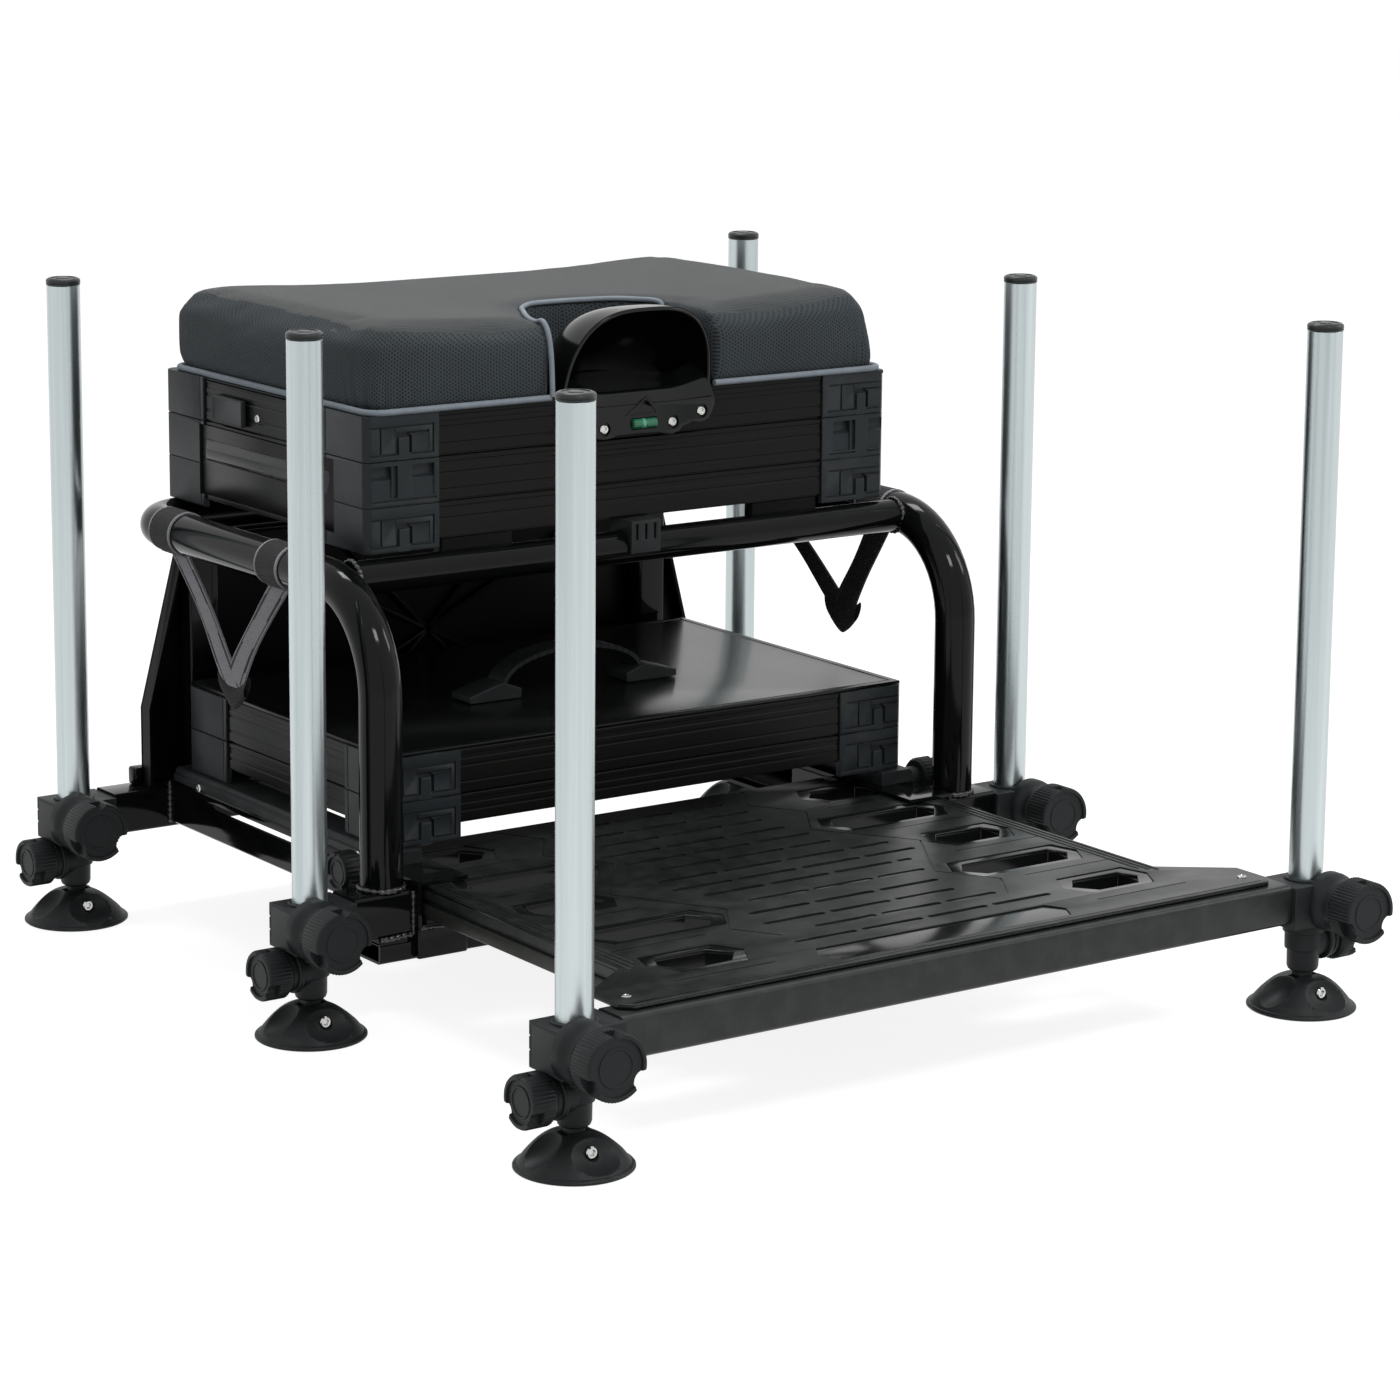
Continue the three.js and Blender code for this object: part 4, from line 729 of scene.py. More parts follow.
finishes.update({
    "extrusion": makeFinish(
        "anodised_extrusion", (0.0034, 0.0038, 0.0031), (0.0042, 0.0046, 0.0038), (0.26, 0.31),
        grain=(1400.0, 160.0), stretch=(0.015, 0.015, 1.0), bump=0.25, bumpDepth=0.02, specular=0.13,
        dusty=thinDust),
    "corner": makeFinish(
        "corner_nylon", (0.0190, 0.0240, 0.0268), (0.0220, 0.0272, 0.0303), (0.40, 0.50),
        grain=(1300.0, 20.0), bump=0.3, wearAndGlints=paleEdge, dusty=thinDust, specular=0.22),
    "deck": makeFinish(
        "deck_plastic", (0.0094, 0.0112, 0.0106), (0.0112, 0.0133, 0.0126), (0.28, 0.38),
        grain=(1100.0, 8.0), bump=0.3, dusty={"amount": 0.03, "colour": (0.22, 0.23, 0.22)},
        wearAndGlints=paleEdge, specular=0.2),
    "deckGloss": makeFinish(
        "deck_recess", (0.0060, 0.0072, 0.0066), (0.0072, 0.0085, 0.0079), (0.10, 0.18),
        grain=(900.0, 11.0), bump=0.12, dusty=thinDust, specular=0.26),
    "lid": makeFinish(
        "lid_sheet", (0.0050, 0.0058, 0.0055), (0.0057, 0.0066, 0.0063), (0.21, 0.25), grain=(1500.0, 5.0),
        bump=0.12, dusty={"amount": 0.02, "colour": (0.25, 0.26, 0.26)}, specular=0.2),
    "panel": makeFinish(
        "rear_panel_plastic", (0.0014, 0.0016, 0.0015), (0.0018, 0.0021, 0.0020), (0.34, 0.42),
        grain=(1000.0, 12.0), bump=0.25, specular=0.08),
    "pull": makeFinish(
        "pull_plastic", (0.0095, 0.0110, 0.0102), (0.0108, 0.0125, 0.0116), (0.26, 0.30),
        grain=(1300.0, 40.0), bump=0.15, bumpDepth=0.02, specular=0.26),
    "hood": makeFinish(
        "gloss_moulding", (0.0040, 0.0048, 0.0046), (0.0048, 0.0057, 0.0055), (0.12, 0.19),
        grain=(300.0, 12.0), bump=0.06, dusty=thinDust, specular=0.25),
    # The bead's pale convex crests are painted glints, laid on through the wear mask
    "weld": makeFinish(
        "weld_bead", (0.008, 0.009, 0.0085), (0.014, 0.0155, 0.0145), (0.08, 0.16), grain=(500.0, 90.0),
        bump=0.35, bumpDepth=0.12, wearAndGlints={"amount": 0.5, "colour": (0.28, 0.29, 0.28)}, specular=0.5),
    "olive": makeFinish(
        "slide_strip", (0.026, 0.029, 0.024), (0.036, 0.040, 0.033), (0.36, 0.48), grain=(700.0, 20.0),
        stretch=(1.0, 0.05, 1.0), bump=0.2, dusty=thinDust, wearAndGlints=paleEdge, specular=0.3),
    "piping": makeFinish(
        "cushion_piping", (0.25, 0.29, 0.33), (0.33, 0.375, 0.42), (0.55, 0.7), grain=(1600.0, 70.0),
        bump=0.6, bumpDepth=0.12, specular=0.3),
})


# The directions of the waves that make up each cloth's cells, in degrees
clothTurns = {"honeycomb": (0, 60, 120), "rib": (28, 90), "weave": (0, 90)}
cushionMiddle = 0.207


# Woven or knitted cloth: the cells come from waves in a flattened pair of coordinates
def makeCloth(name, dark, light, pattern, size, depth, cloudScale=14.0, fuzz=0.2, edge=None):
    finish, tree, shader = startFinish(name)
    spot = objectSpot(tree)
    x, y, z = addNode(tree, "ShaderNodeSeparateXYZ", {0: spot}).outputs
    across, upright = y, z
    if pattern == "rib":
        across, upright = maths(tree, "ADD", x, y), maths(tree, "SUBTRACT", y, z)
    elif pattern == "honeycomb":
        fromMiddle = maths(tree, "ABSOLUTE", maths(tree, "SUBTRACT", y, cushionMiddle), 0.0)
        across = maths(tree, "SUBTRACT", maths(tree, "ABSOLUTE", x, 0.0), fromMiddle)
    pace = 2 * math.pi / (size * mm)
    waves = []
    for turn in clothTurns[pattern]:
        turn = math.radians(turn)
        along = maths(
            tree, "ADD", maths(tree, "MULTIPLY", across, math.cos(turn) * pace),
            maths(tree, "MULTIPLY", upright, math.sin(turn) * pace))
        waves.append(maths(tree, "COSINE", along, 0.0))
    total = waves[0]
    for wave in waves[1:]:
        total = maths(tree, "MAXIMUM" if pattern == "weave" else "ADD", total, wave)
    height = total
    if pattern == "honeycomb":
        height = ramp(tree, total, 0.2, 1.7, 1.0, 0.0)
    elif pattern == "rib":
        height = ramp(tree, total, -1.3, 1.1)
    cloud = noise(tree, spot, cloudScale, 6.0, 0.6)
    shade = maths(
        tree, "ADD", maths(tree, "MULTIPLY", ramp(tree, cloud, 0.3, 0.7), 0.35),
        maths(tree, "MULTIPLY", height, 0.65))
    colour = blendColours(tree, shade, dark, light)
    # Where edge is given, the colour darkens from its high mark down to its low mark, which is painted
    # shade
    if edge:
        share = ramp(tree, z, edge["low"] * mm, edge["high"] * mm)
        colour = blendColours(tree, share, edge["colour"], colour)
    fibre = noise(tree, spot, 2400.0, 2.0)
    relief = maths(tree, "ADD", height, maths(tree, "MULTIPLY", fibre, 0.25))
    bump = addNode(tree, "ShaderNodeBump", {"Strength": 0.8, "Distance": depth * mm, "Height": relief})
    tree.links.new(colour, shader.inputs["Base Color"])
    tree.links.new(ramp(tree, cloud, 0.3, 0.7, 0.72, 0.86), shader.inputs["Roughness"])
    tree.links.new(bump.outputs[0], shader.inputs["Normal"])
    shader.inputs["Specular IOR Level"].default_value = 0.3
    shader.inputs["Sheen Weight"].default_value = fuzz
    shader.inputs["Sheen Roughness"].default_value = 0.4
    return finish


# The ribbed top darkens from 486 mm down to 475 mm: painted shade where it rolls over towards the mesh
# sides
finishes["cover"] = makeCloth(
    "ribbed_cover", (0.028, 0.0325, 0.0333), (0.060, 0.0665, 0.0672), "rib", 1.7, 0.3, fuzz=0.3,
    edge={"low": 475, "high": 486, "colour": (0.034, 0.041, 0.0445)})
finishes["meshCloth"] = makeCloth(
    "mesh_cover", (0.003, 0.0040, 0.0046), (0.064, 0.078, 0.086), "honeycomb", 2.5, 0.6, fuzz=0.05)
for key, name, dark, light, fuzz in (
        ("webbingGrey", "grey_webbing", (0.32, 0.32, 0.345), (0.56, 0.56, 0.60), 0.2),
        ("webbingLine", "webbing_line", (0.016, 0.016, 0.020), (0.034, 0.034, 0.040), 0.2),
        ("webbingDark", "dark_webbing", (0.012, 0.0115, 0.012), (0.032, 0.031, 0.033), 0.12)):
    finishes[key] = makeCloth(name, dark, light, "weave", 1.5, 0.3, cloudScale=40.0, fuzz=fuzz)


# Green fluid with a paler bubble, which lies near the vial's middle
def makeVial():
    finish, tree, shader = startFinish("vial_fluid")
    spot = objectSpot(tree)
    x = addNode(tree, "ShaderNodeSeparateXYZ", {0: spot}).outputs[0]
    bubble = maths(tree, "ABSOLUTE", maths(tree, "SUBTRACT", x, 0.0005), 0.0)
    cloud = noise(tree, spot, 160.0, 3.0)
    fluid = blendColours(tree, cloud, (0.015, 0.16, 0.075), (0.03, 0.24, 0.12))
    colour = blendColours(tree, ramp(tree, bubble, 0.0022, 0.0030), (0.10, 0.50, 0.30), fluid)
    tree.links.new(colour, shader.inputs["Base Color"])
    tree.links.new(ramp(tree, cloud, 0.2, 0.8, 0.05, 0.12), shader.inputs["Roughness"])
    return finish


finishes["vial"] = makeVial()
print("finishes mixed:", len(finishes))


# Rounded rectangle outline between two corners
def roundedOutline(low, high, radius, steps=4):
    points = []
    for cx, cy, turn in (
            (high[0] - radius, high[1] - radius, 0), (low[0] + radius, high[1] - radius, 90),
            (low[0] + radius, low[1] + radius, 180), (high[0] - radius, low[1] + radius, 270)):
        for k in range(steps + 1):
            angle = math.radians(turn + 90 * k / steps)
            points.append((cx + radius * math.cos(angle), cy + radius * math.sin(angle)))
    return points


# An outline for the right-hand side, or the same one mirrored for the left
def toSide(sign, outline):
    return [(sign * u, v) for u, v in outline]


# Square or flat tube along an axis, open at both ends
def boxTube(name, axis, low, high, start, end, wall=2.0, radius=2.5):
    inner = roundedOutline([a + wall for a in low], [b - wall for b in high], max(radius - wall, 0.5), 2)
    return cutFromSheet(name, [roundedOutline(low, high, radius), inner], axis, start, end)


# A rippled bead round a joint: a ring in the plane across direction
def weldRing(name, middle, direction, radius, bead=1.7, ripples=20, squash=(1, 1)):
    turn = aimed(direction).to_3x3()
    count = ripples * 4
    points, shares = [], []
    for k in range(count):
        angle = 2 * math.pi * k / count
        wobble = 0.35 * math.sin(angle * 5 + radius)
        wide, deep = (radius + wobble * 0.4) * squash[0], (radius + wobble * 0.4) * squash[1]
        spot = Vector((wide * math.cos(angle), deep * math.sin(angle), wobble * 0.5))
        points.append(Vector(middle) + turn @ spot)
        shares.append(1 + 0.16 * math.sin(k * math.pi / 2) + 0.1 * math.sin(angle * 3))
    return paint(pipeAlong(name, points, bead, 10, closed=True, shares=shares), "weld")


# A rippled bead along a straight joint
def weldLine(name, start, end, bead=1.7, pitch=4.4):
    start, end = Vector(start), Vector(end)
    count = max(6, int((end - start).length / pitch) * 4)
    points, shares = [], []
    for k in range(count + 1):
        points.append(start.lerp(end, k / count) + Vector((0, 0, 0.3 * math.sin(k * 0.31))))
        shares.append(1 + 0.18 * math.sin(k * math.pi / 2) + 0.08 * math.sin(k * 0.17))
    return paint(pipeAlong(name, points, bead, 10, shares=shares), "weld")


# Top frame: one bent hoop of round tube with its uprights and the rear panel

hoop = {
    "radius": 15.5, "x": 257, "z": 309, "base": 98.3, "bend": 75, "corner": 36, "rearY": 352, "steps": 14,
    "uprightX": 210,
}
crossTube = {"radius": 12.5, "y": 62, "half": 245, "padIn": 108, "padOut": 168}


def bendRoute(corners, steps):
    route = []
    for k, (corner, bend) in enumerate(corners):
        corner = Vector(corner)
        if not bend:
            route.append(corner)
            continue
        back = (Vector(corners[k - 1][0]) - corner).normalized()
        on = (Vector(corners[k + 1][0]) - corner).normalized()
        middle = corner + (back + on) * bend
        for j in range(steps + 1):
            angle = math.pi / 2 * j / steps
            route.append(middle - on * bend * math.cos(angle) - back * bend * math.sin(angle))
    return route


def buildTopFrame():
    h = hoop
    left = [
        ((-h["x"], 0, h["base"]), 0), ((-h["x"], 0, h["z"]), h["bend"]),
        ((-h["x"], h["rearY"], h["z"]), h["corner"])]
    right = [((-x, y, z), bend) for (x, y, z), bend in reversed(left)]
    tube = paint(pipeAlong("top_hoop", bendRoute(left + right, h["steps"]), h["radius"], 40), "powder")
    finishPiece(tube, "frame", "frame_black", "top_frame")
    for side, sign in sides.items():
        x = sign * h["uprightX"]
        upright = addBox(f"{side}_upright", (x - 12.5, 344, h["base"]), (x + 12.5, 360, 300))
        dress(soften(upright, 2.0, 3), "powder", "frame", "frame_black")
        welds = [
            weldRing("weld", (sign * h["x"], 0, 99.6), (0, 0, 1), 15.9, 1.8),
            weldRing("weld", (x, h["rearY"], 99.3), (0, 0, 1), 12.3, 1.4, squash=(1.05, 0.72)),
            weldRing("weld", (sign * 243.2, crossTube["y"], h["z"]), (1, 0, 0), 12.9, 1.7),
            weldLine("weld", (x - sign * 11, 343.6, 296), (x + sign * 11, 343.6, 296), 1.5)]
        finishPiece(together(f"{side}_hoop_welds", welds), "frame", "frame_black")


def buildCrossTube():
    c = crossTube
    y, z, half = c["y"], hoop["z"], c["half"]
    tube = paint(addRod("cross_tube", c["radius"], (-half, y, z), (half, y, z), 40), "powder")
    finishPiece(smoothBy(tube, 40), "frame", "frame_black", "front_cross_tube")
    for side, sign in sides.items():
        start, end = sorted((sign * c["padIn"], sign * c["padOut"]))
        pad = addBox(f"{side}_seat_pad", (start, 62, 312), (end, 72.8, 330.6))
        hollow = addBox("hollow", (start + 4, 66, 316), (end - 4, 80, 327))
        dress(soften(carve(pad, hollow), 0.8), "panel", "frame", "moulded_black")
    clip = addBox("seat_clip_body", (-13, 46.6, 306.2), (13, 77.4, 330.6))
    seat = addRod("seat", c["radius"] + 0.2, (-30, y, z), (30, y, z), 40)
    mouth = addBox("mouth", (-30, y - 12.4, 290), (30, y + 12.4, z))
    slots = [addBox("slot", (x - 1, 40, 316), (x + 1, 50, 328)) for x in (-8, 0, 8)]
    carve(clip, seat, mouth, *slots)
    dress(soften(clip, 0.9), "nylon", "frame", "moulded_black", "seat_clip")


panel = {
    "kneeX": 255, "topX": 221, "low": 98.3, "knee": 160, "top": 292, "back": 367, "thick": 3,
    "front": 352.2, "hub": 195, "ribEnds": ((180, 285), (180, 105), (90, 285), (90, 105)),
}


def buildRearPanel():
    p = panel

    def outline(inset):
        return [
            (-p["kneeX"] + inset, p["low"] + inset), (p["kneeX"] - inset, p["low"] + inset),
            (p["kneeX"] - inset, p["knee"]), (p["topX"] - inset, p["top"] - inset),
            (-p["topX"] + inset, p["top"] - inset), (-p["kneeX"] + inset, p["knee"])]

    sheet = cutFromSheet("rear_sheet", [outline(0)], "y", p["back"] - p["thick"], p["back"])
    rim = cutFromSheet("rear_rim", [outline(0), outline(3)], "y", p["front"], p["back"] - 1)
    # room for the uprights
    for x in (-205, 205):
        carve(rim, addBox("gap", (x - 20.5, 330, 0), (x + 20.5, 360.3, 320)))
    ribs = []
    for sign in (-1, 1):
        for x, z in p["ribEnds"]:
            rib = addBox("rib", (-1.2, 357.5, 0), (1.2, 364.5, math.hypot(x, z - p["hub"])))
            turn = Matrix.Rotation(math.atan2(sign * x, z - p["hub"]), 4, "Y")
            rib.data.transform(Matrix.Translation((0, 0, p["hub"] * mm)) @ turn)
            ribs.append(rib)
    whole = soften(together("rear_panel_shell", [sheet, rim, *ribs]), 0.5, 1, 50)
    dress(whole, "panel", "frame", "moulded_black", "rear_panel")


buildTopFrame()
buildCrossTube()
buildRearPanel()
print("top frame and rear panel built")

# Base frame: rear tube, channel rails with their runners, brackets, front stubs and lower bar

rail = {
    "inner": 199, "outer": 240, "front": -22, "rear": 348.5, "low": 70, "top": 104.3, "wall": 3,
    "runnerIn": 208, "runnerFront": 25, "runnerRear": 343.7, "runnerTop": 114.6,
    "slotFrom": 66, "slotTo": 283, "slotLow": 93, "slotHigh": 98.4, "screwZ": 107, "weldX": 240.6,
}
blockSide = 287.6


def buildBaseFrame():
    rear = boxTube("rear_tube", "x", (348.2, 66), (380, 98), -blockSide, blockSide, 2, 3)
    dress(rear, "powder", "frame", "frame_black", "base_frame")
    low = boxTube("lower_bar", "x", (-16, 47.2), (16, 62.5), -268, 268, 2, 2.5)
    dress(low, "powder", "frame", "frame_black")
    r = rail
    w = r["wall"]
    for side, sign in sides.items():
        channel = cutFromSheet(f"{side}_rail_channel", [toSide(sign, [
            (r["inner"], r["low"]), (r["outer"] - 1.5, r["low"]), (r["outer"], r["low"] + 1.5),
            (r["outer"], r["top"] - 1.5), (r["outer"] - 1.5, r["top"]), (r["inner"], r["top"]),
            (r["inner"], r["top"] - 2.7), (r["outer"] - w, r["top"] - 2.7), (r["outer"] - w, r["low"] + w),
            (r["inner"], r["low"] + w)])], "y", r["front"], r["rear"])
        slotTool = addBox(
            "slot", (sign * 230, r["slotFrom"], r["slotLow"]), (sign * 250, r["slotTo"], r["slotHigh"]))
        soften(slotTool, 2.4, 3)
        y, z = slideStud["y"], slideStud["z"]
        stud = addRod("stud", 4.3, (sign * 230, y, z), (sign * 250, y, z), 24)
        carve(channel, slotTool, stud)
        dress(soften(channel, 0.6, 2), "powder", "frame", "frame_black")
        runner = cutFromSheet(f"{side}_runner", [toSide(sign, [
            (r["runnerIn"], r["top"] - 0.2), (r["outer"] - 0.5, r["top"] - 0.2), (r["outer"] - 0.5, 109.5),
            (r["outer"] - 2.2, 110.3), (r["outer"] - 2.2, 112.6), (r["outer"] - 4.2, r["runnerTop"]),
            (r["runnerIn"] + 1, r["runnerTop"]), (r["runnerIn"], r["runnerTop"] - 1)])],
            "y", r["runnerFront"], r["runnerRear"])
        dress(soften(runner, 0.4, 1), "nylon", "frame", "moulded_black")
        bracket = addBox(
            f"{side}_bracket", (sign * r["inner"], r["front"], 48.2), (sign * r["outer"], 16, 70.5))
        dress(soften(bracket, 1.6, 3), "powder", "frame", "frame_black")
        glide = addBox(f"{side}_glide", (sign * 205.3, r["front"] + 0.5, 72.8), (sign * 232.6, 348, 76.7))
        dress(soften(glide, 0.8), "nylon", "frame", "moulded_black")
        stub = boxTube(f"{side}_stub", "x", (-16, 66.1), (16, 98), sign * 239.4, sign * blockSide, 2, 3)
        dress(stub, "powder", "frame", "frame_black")
        drop = addBox(f"{side}_drop", (sign * 239.5, -15.8, 60), (sign * 268, 15.8, 67))
        dress(soften(drop, 1.2), "powder", "frame", "frame_black")
        welds = [
            weldLine("weld", (sign * x0, y, z0), (sign * x1, y, z1), bead)
            for x0, x1, y, z0, z1, bead in (
                (r["weldX"], r["weldX"], -16, 66, 97, 1.6), (r["weldX"], r["weldX"], 16.3, 66, 97, 1.6),
                (242, 267, -16.4, 66, 65.4, 1.8), (201, 238, -21.4, 70.4, 70.4, 1.5),
                (r["weldX"], r["weldX"], 347.8, 70, 103, 1.9), (200, 239, 347.6, 103.6, 103.6, 1.6))]
        finishPiece(together(f"{side}_rail_welds", welds), "frame", "frame_black")
        screws = [
            screwHead("screw", (sign * r["outer"], y, r["screwZ"]), (sign, 0, 0), 2.9, 1.9)
            for y in (300, 60)]
        finishPiece(together(f"{side}_runner_screws", screws), "frame", "steel")
    lug = addBox("rear_lug", (-262, 366, 98), (-246, 377, 112))
    dress(soften(lug, 2.2, 3), "powder", "frame", "frame_black")


# Footplate: square tube frame under a ribbed deck

plateRail = {"inner": 205, "outer": 233, "low": 77.1, "top": 97.6, "front": -321, "rear": 138}


def buildPlateFrame():
    bar = boxTube("footplate_bar", "x", (-350, 68.2), (-320.2, 97.5), -blockSide, blockSide, 2, 4)
    dress(bar, "bar", "footplate", "bar_black", "footplate_frame")
    p = plateRail
    for side, sign in sides.items():
        outer = [
            (p["inner"], p["low"]), (p["outer"] - 0.6, p["low"]), (p["outer"], p["low"] + 0.6),
            (p["outer"], 87.6), (p["outer"] - 2.6, 88.2), (p["outer"] - 2.6, 91.2), (p["outer"], 91.8),
            (p["outer"], p["top"] - 0.6), (p["outer"] - 0.6, p["top"]), (p["inner"], p["top"])]
        inner = [
            (p["inner"] + 2, p["low"] + 2), (p["outer"] - 4.4, p["low"] + 2),
            (p["outer"] - 4.4, p["top"] - 2), (p["inner"] + 2, p["top"] - 2)]
        outlines = [toSide(sign, outer), toSide(sign, inner)]
        bearer = cutFromSheet(f"{side}_plate_rail", outlines, "y", p["front"], p["rear"])
        dress(bearer, "bar", "footplate", "bar_black")
        strip = addBox(
            f"{side}_plate_strip", (sign * (p["outer"] - 0.5), p["front"] + 2, p["low"] + 1),
            (sign * (p["outer"] + 0.5), p["rear"] - 1, 87))
        dress(soften(strip, 0.4, 2), "olive", "footplate", "bar_black")
        x, y = sign * (p["outer"] + 1), p["front"] + 1.4
        weld = weldLine(f"{side}_bar_weld", (x, y, 77.5), (x, y, 97), 1.5)
        finishPiece(weld, "footplate", "bar_black")


deck = {
    "half": 233, "rear": 84, "tabY": -264, "shoulder": -300, "tabX": 281, "front": -341, "low": 97.9,
    "face": 100.2, "top": 101, "windowFirst": -274, "pitch": 78, "outer": 208, "halfHigh": 15, "point": 12,
    "heel": 6, "lengths": (60, 98, 60, 98, 60), "pocket": 88.8,
    # slots pressed in the middle field, as (y, from, to); each runs on in dashes
    "slots": ((-280, -101, 124), (-256, -66, 92), (-232, -92, 88), (-206, -86, 86), (-178, -66, 90),
              (-150, -84, 100), (-127, -96, 121), (-103, -92, 115), (-76, -70, 82), (-50, -82, 82),
              (-25, -88, 88), (2, -70, 76), (28, -84, 84), (56, -78, 78)),
    "slotHalf": 2.7, "dash": 52, "gap": 5, "lines": (-310, -231, -151, -74, 4),
    # the zigzag on either side of the middle field
    "border": ((98, -262), (119, -229), (92, -187), (138, -112), (89, -42), (119, 4), (92, 44), (114, 80)),
    "plaque": ((-107, -315), (-99, -330), (99, -330), (107, -315), (99, -300), (-99, -300)),
    "ridges": ((219.5, -262), (224.5, -268), (229.5, -272)), "screw": (266, -321, 100.6),
}


# The middle line and the inner end of a row's window
def windowPlace(row):
    return deck["windowFirst"] + row * deck["pitch"], deck["outer"] - deck["lengths"][row]


def windowOutline(row, sign, grow=0.0):
    d = deck
    y, inner = windowPlace(row)
    inner, outer, half = inner - grow * 1.3, d["outer"] + grow * 1.3, d["halfHigh"] + grow
    return toSide(sign, [
        (inner, y), (inner + d["point"], y - half), (outer - d["point"], y - half), (outer, y),
        (outer - d["heel"], y + half), (inner + d["point"], y + half)])


# The deep rim that hangs round a window
def windowPocket(row, sign):
    d = deck
    y, inner = windowPlace(row)
    half, lip = d["halfHigh"], d["halfHigh"] + 1.4
    ring = [
        (inner - 2, y), (inner + 11, y - lip), (204.4, y - lip), (204.4, y + lip), (inner + 11, y + lip)]
    room = [
        (inner, y), (inner + 12, y - half), (196, y - half), (203, y - 6.4), (203, y + half),
        (inner + 12, y + half)]
    outlines = [toSide(sign, ring), toSide(sign, room)]
    return cutFromSheet("pocket", outlines, "z", d["pocket"], d["low"] + 0.3)


def buildDeck():
    d = deck
    outline = [
        (-d["half"], d["rear"]), (-d["half"], d["tabY"]), (-d["tabX"], d["shoulder"]),
        (-d["tabX"], d["front"] + 8), (-d["tabX"] + 8, d["front"]), (d["tabX"] - 8, d["front"]),
        (d["tabX"], d["front"] + 8), (d["tabX"], d["shoulder"]), (d["half"], d["tabY"]),
        (d["half"], d["rear"])]
    windows = [(row, sign) for row in range(len(d["lengths"])) for sign in (-1, 1)]
    pockets = together("deck_pockets", [windowPocket(*w) for w in windows])
    dress(soften(pockets, 0.4, 1), "deckGloss", "footplate", "moulded_black")
    base = cutFromSheet(
        "deck_plate", [outline] + [windowOutline(*w) for w in windows], "z", d["low"], d["face"], 0.7)
    dress(base, "deckGloss", "footplate", "moulded_black", "footplate_deck")
    # the satin upper skin stops short of the windows, the front plaque and the side borders
    field = [(u * (1 - 0.7 / 280), v) for u, v in outline]
    outlines = [field] + [windowOutline(*w, grow=7) for w in windows] + [d["plaque"]]
    skin = cutFromSheet("deck_skin", outlines, "z", d["face"] - 0.2, d["top"], 0.3, 1)
    tools = []
    for y, start, end in d["slots"]:
        while start < end - 12:
            stop = min(start + d["dash"], end)
            dash = roundedOutline((start, y - d["slotHalf"]), (stop, y + d["slotHalf"]), 2.2, 2)
            tools.append(cutFromSheet("slot", [dash], "z", 100.0, 103))
            start = stop + d["gap"]
    for sign in (-1, 1):
        for (x0, y0), (x1, y1) in zip(d["border"], d["border"][1:]):
            tools.append(addRod("edge", 0.9, (sign * x0, y0, 101.1), (sign * x1, y1, 101.1), 6))
    for y in d["lines"]:
        for sign in (-1, 1):
            tools.append(addBox("line", (sign * 140, y - 0.6, 100.3), (sign * 222, y + 0.6, 103)))
    tools.append(addBox("line", (-270, -336.6, 100.3), (270, -335.6, 103)))
    carve(skin, *tools)
    dress(soften(skin, 0.25, 1, 50), "deck", "footplate", "moulded_black")
    for side, sign in sides.items():
        ridges = [
            addBox("ridge", (x - 1.2, start, d["top"] - 0.3), (x + 1.2, d["rear"] - 4, d["top"] + 0.5))
            for x, start in toSide(sign, d["ridges"])]
        ridges = soften(together(f"{side}_deck_ridges", ridges), 0.5, 2)
        dress(ridges, "deck", "footplate", "moulded_black")
    x, y, z = d["screw"]
    screws = [screwHead("screw", (sign * x, y, z), (0, 0, 1), 3.4, 1.2) for sign in (-1, 1)]
    finishPiece(together("deck_screws", screws), "footplate", "steel")


buildBaseFrame()
buildPlateFrame()
buildDeck()
print("base frame and footplate built")

# Trays: extruded walls between interlocking corner mouldings, one set for each tier

tray = {"half": 232.5, "corner": 61, "proud": 1.5, "wall": 3, "chamfer": 5, "tier": 33}
stacks = {
    "seat": {"front": 59.5, "rear": 360.5},
    "case": {"front": 31.5, "rear": 331.5},
}


# Cross-section of a wall whose bands step in and out, as (depth behind the face, height) pairs
def wallSection(high, bands):
    t = tray
    points = [(t["proud"] + 1.8, 0), (t["proud"] + 1.8, 0.8), (t["proud"], 1.5)]
    deep = 0
    for z, step in bands:
        points += [(t["proud"] + deep, z), (t["proud"] + step, z + 0.5)]
        deep = step
    points += [(t["proud"], high - 0.8), (t["proud"] + 0.8, high)]
    back = t["proud"] + t["wall"]
    return points + [(back, high), (back, 0)]


# One wall of a tray, hung on its body; the grooves are (height, depth) pairs
def buildWall(name, face, stack, low, high, grooves, body, *nodes):
    t, s = tray, stacks[stack]
    if face in ("front", "rear"):
        at, way = (s["front"], 1) if face == "front" else (s["rear"], -1)
        end = t["half"] - t["corner"] + 1
        axis, start = "x", -end
    else:
        at, way = (-t["half"], 1) if face == "left" else (t["half"], -1)
        axis, start, end = "y", s["front"] + t["corner"] - 1, s["rear"] - t["corner"] + 1
    outline = [(at + way * deep, low + z) for deep, z in wallSection(high, grooves)]
    wall = cutFromSheet(name, [outline], axis, start, end)
    return dress(wall, "extrusion", body, "tray_black", *nodes)


tierGrooves = [(7.6, 0.45), (9.2, 0.1), (19.4, 0.5), (21.2, 0.15), (25.0, 0.55), (29.0, 0)]

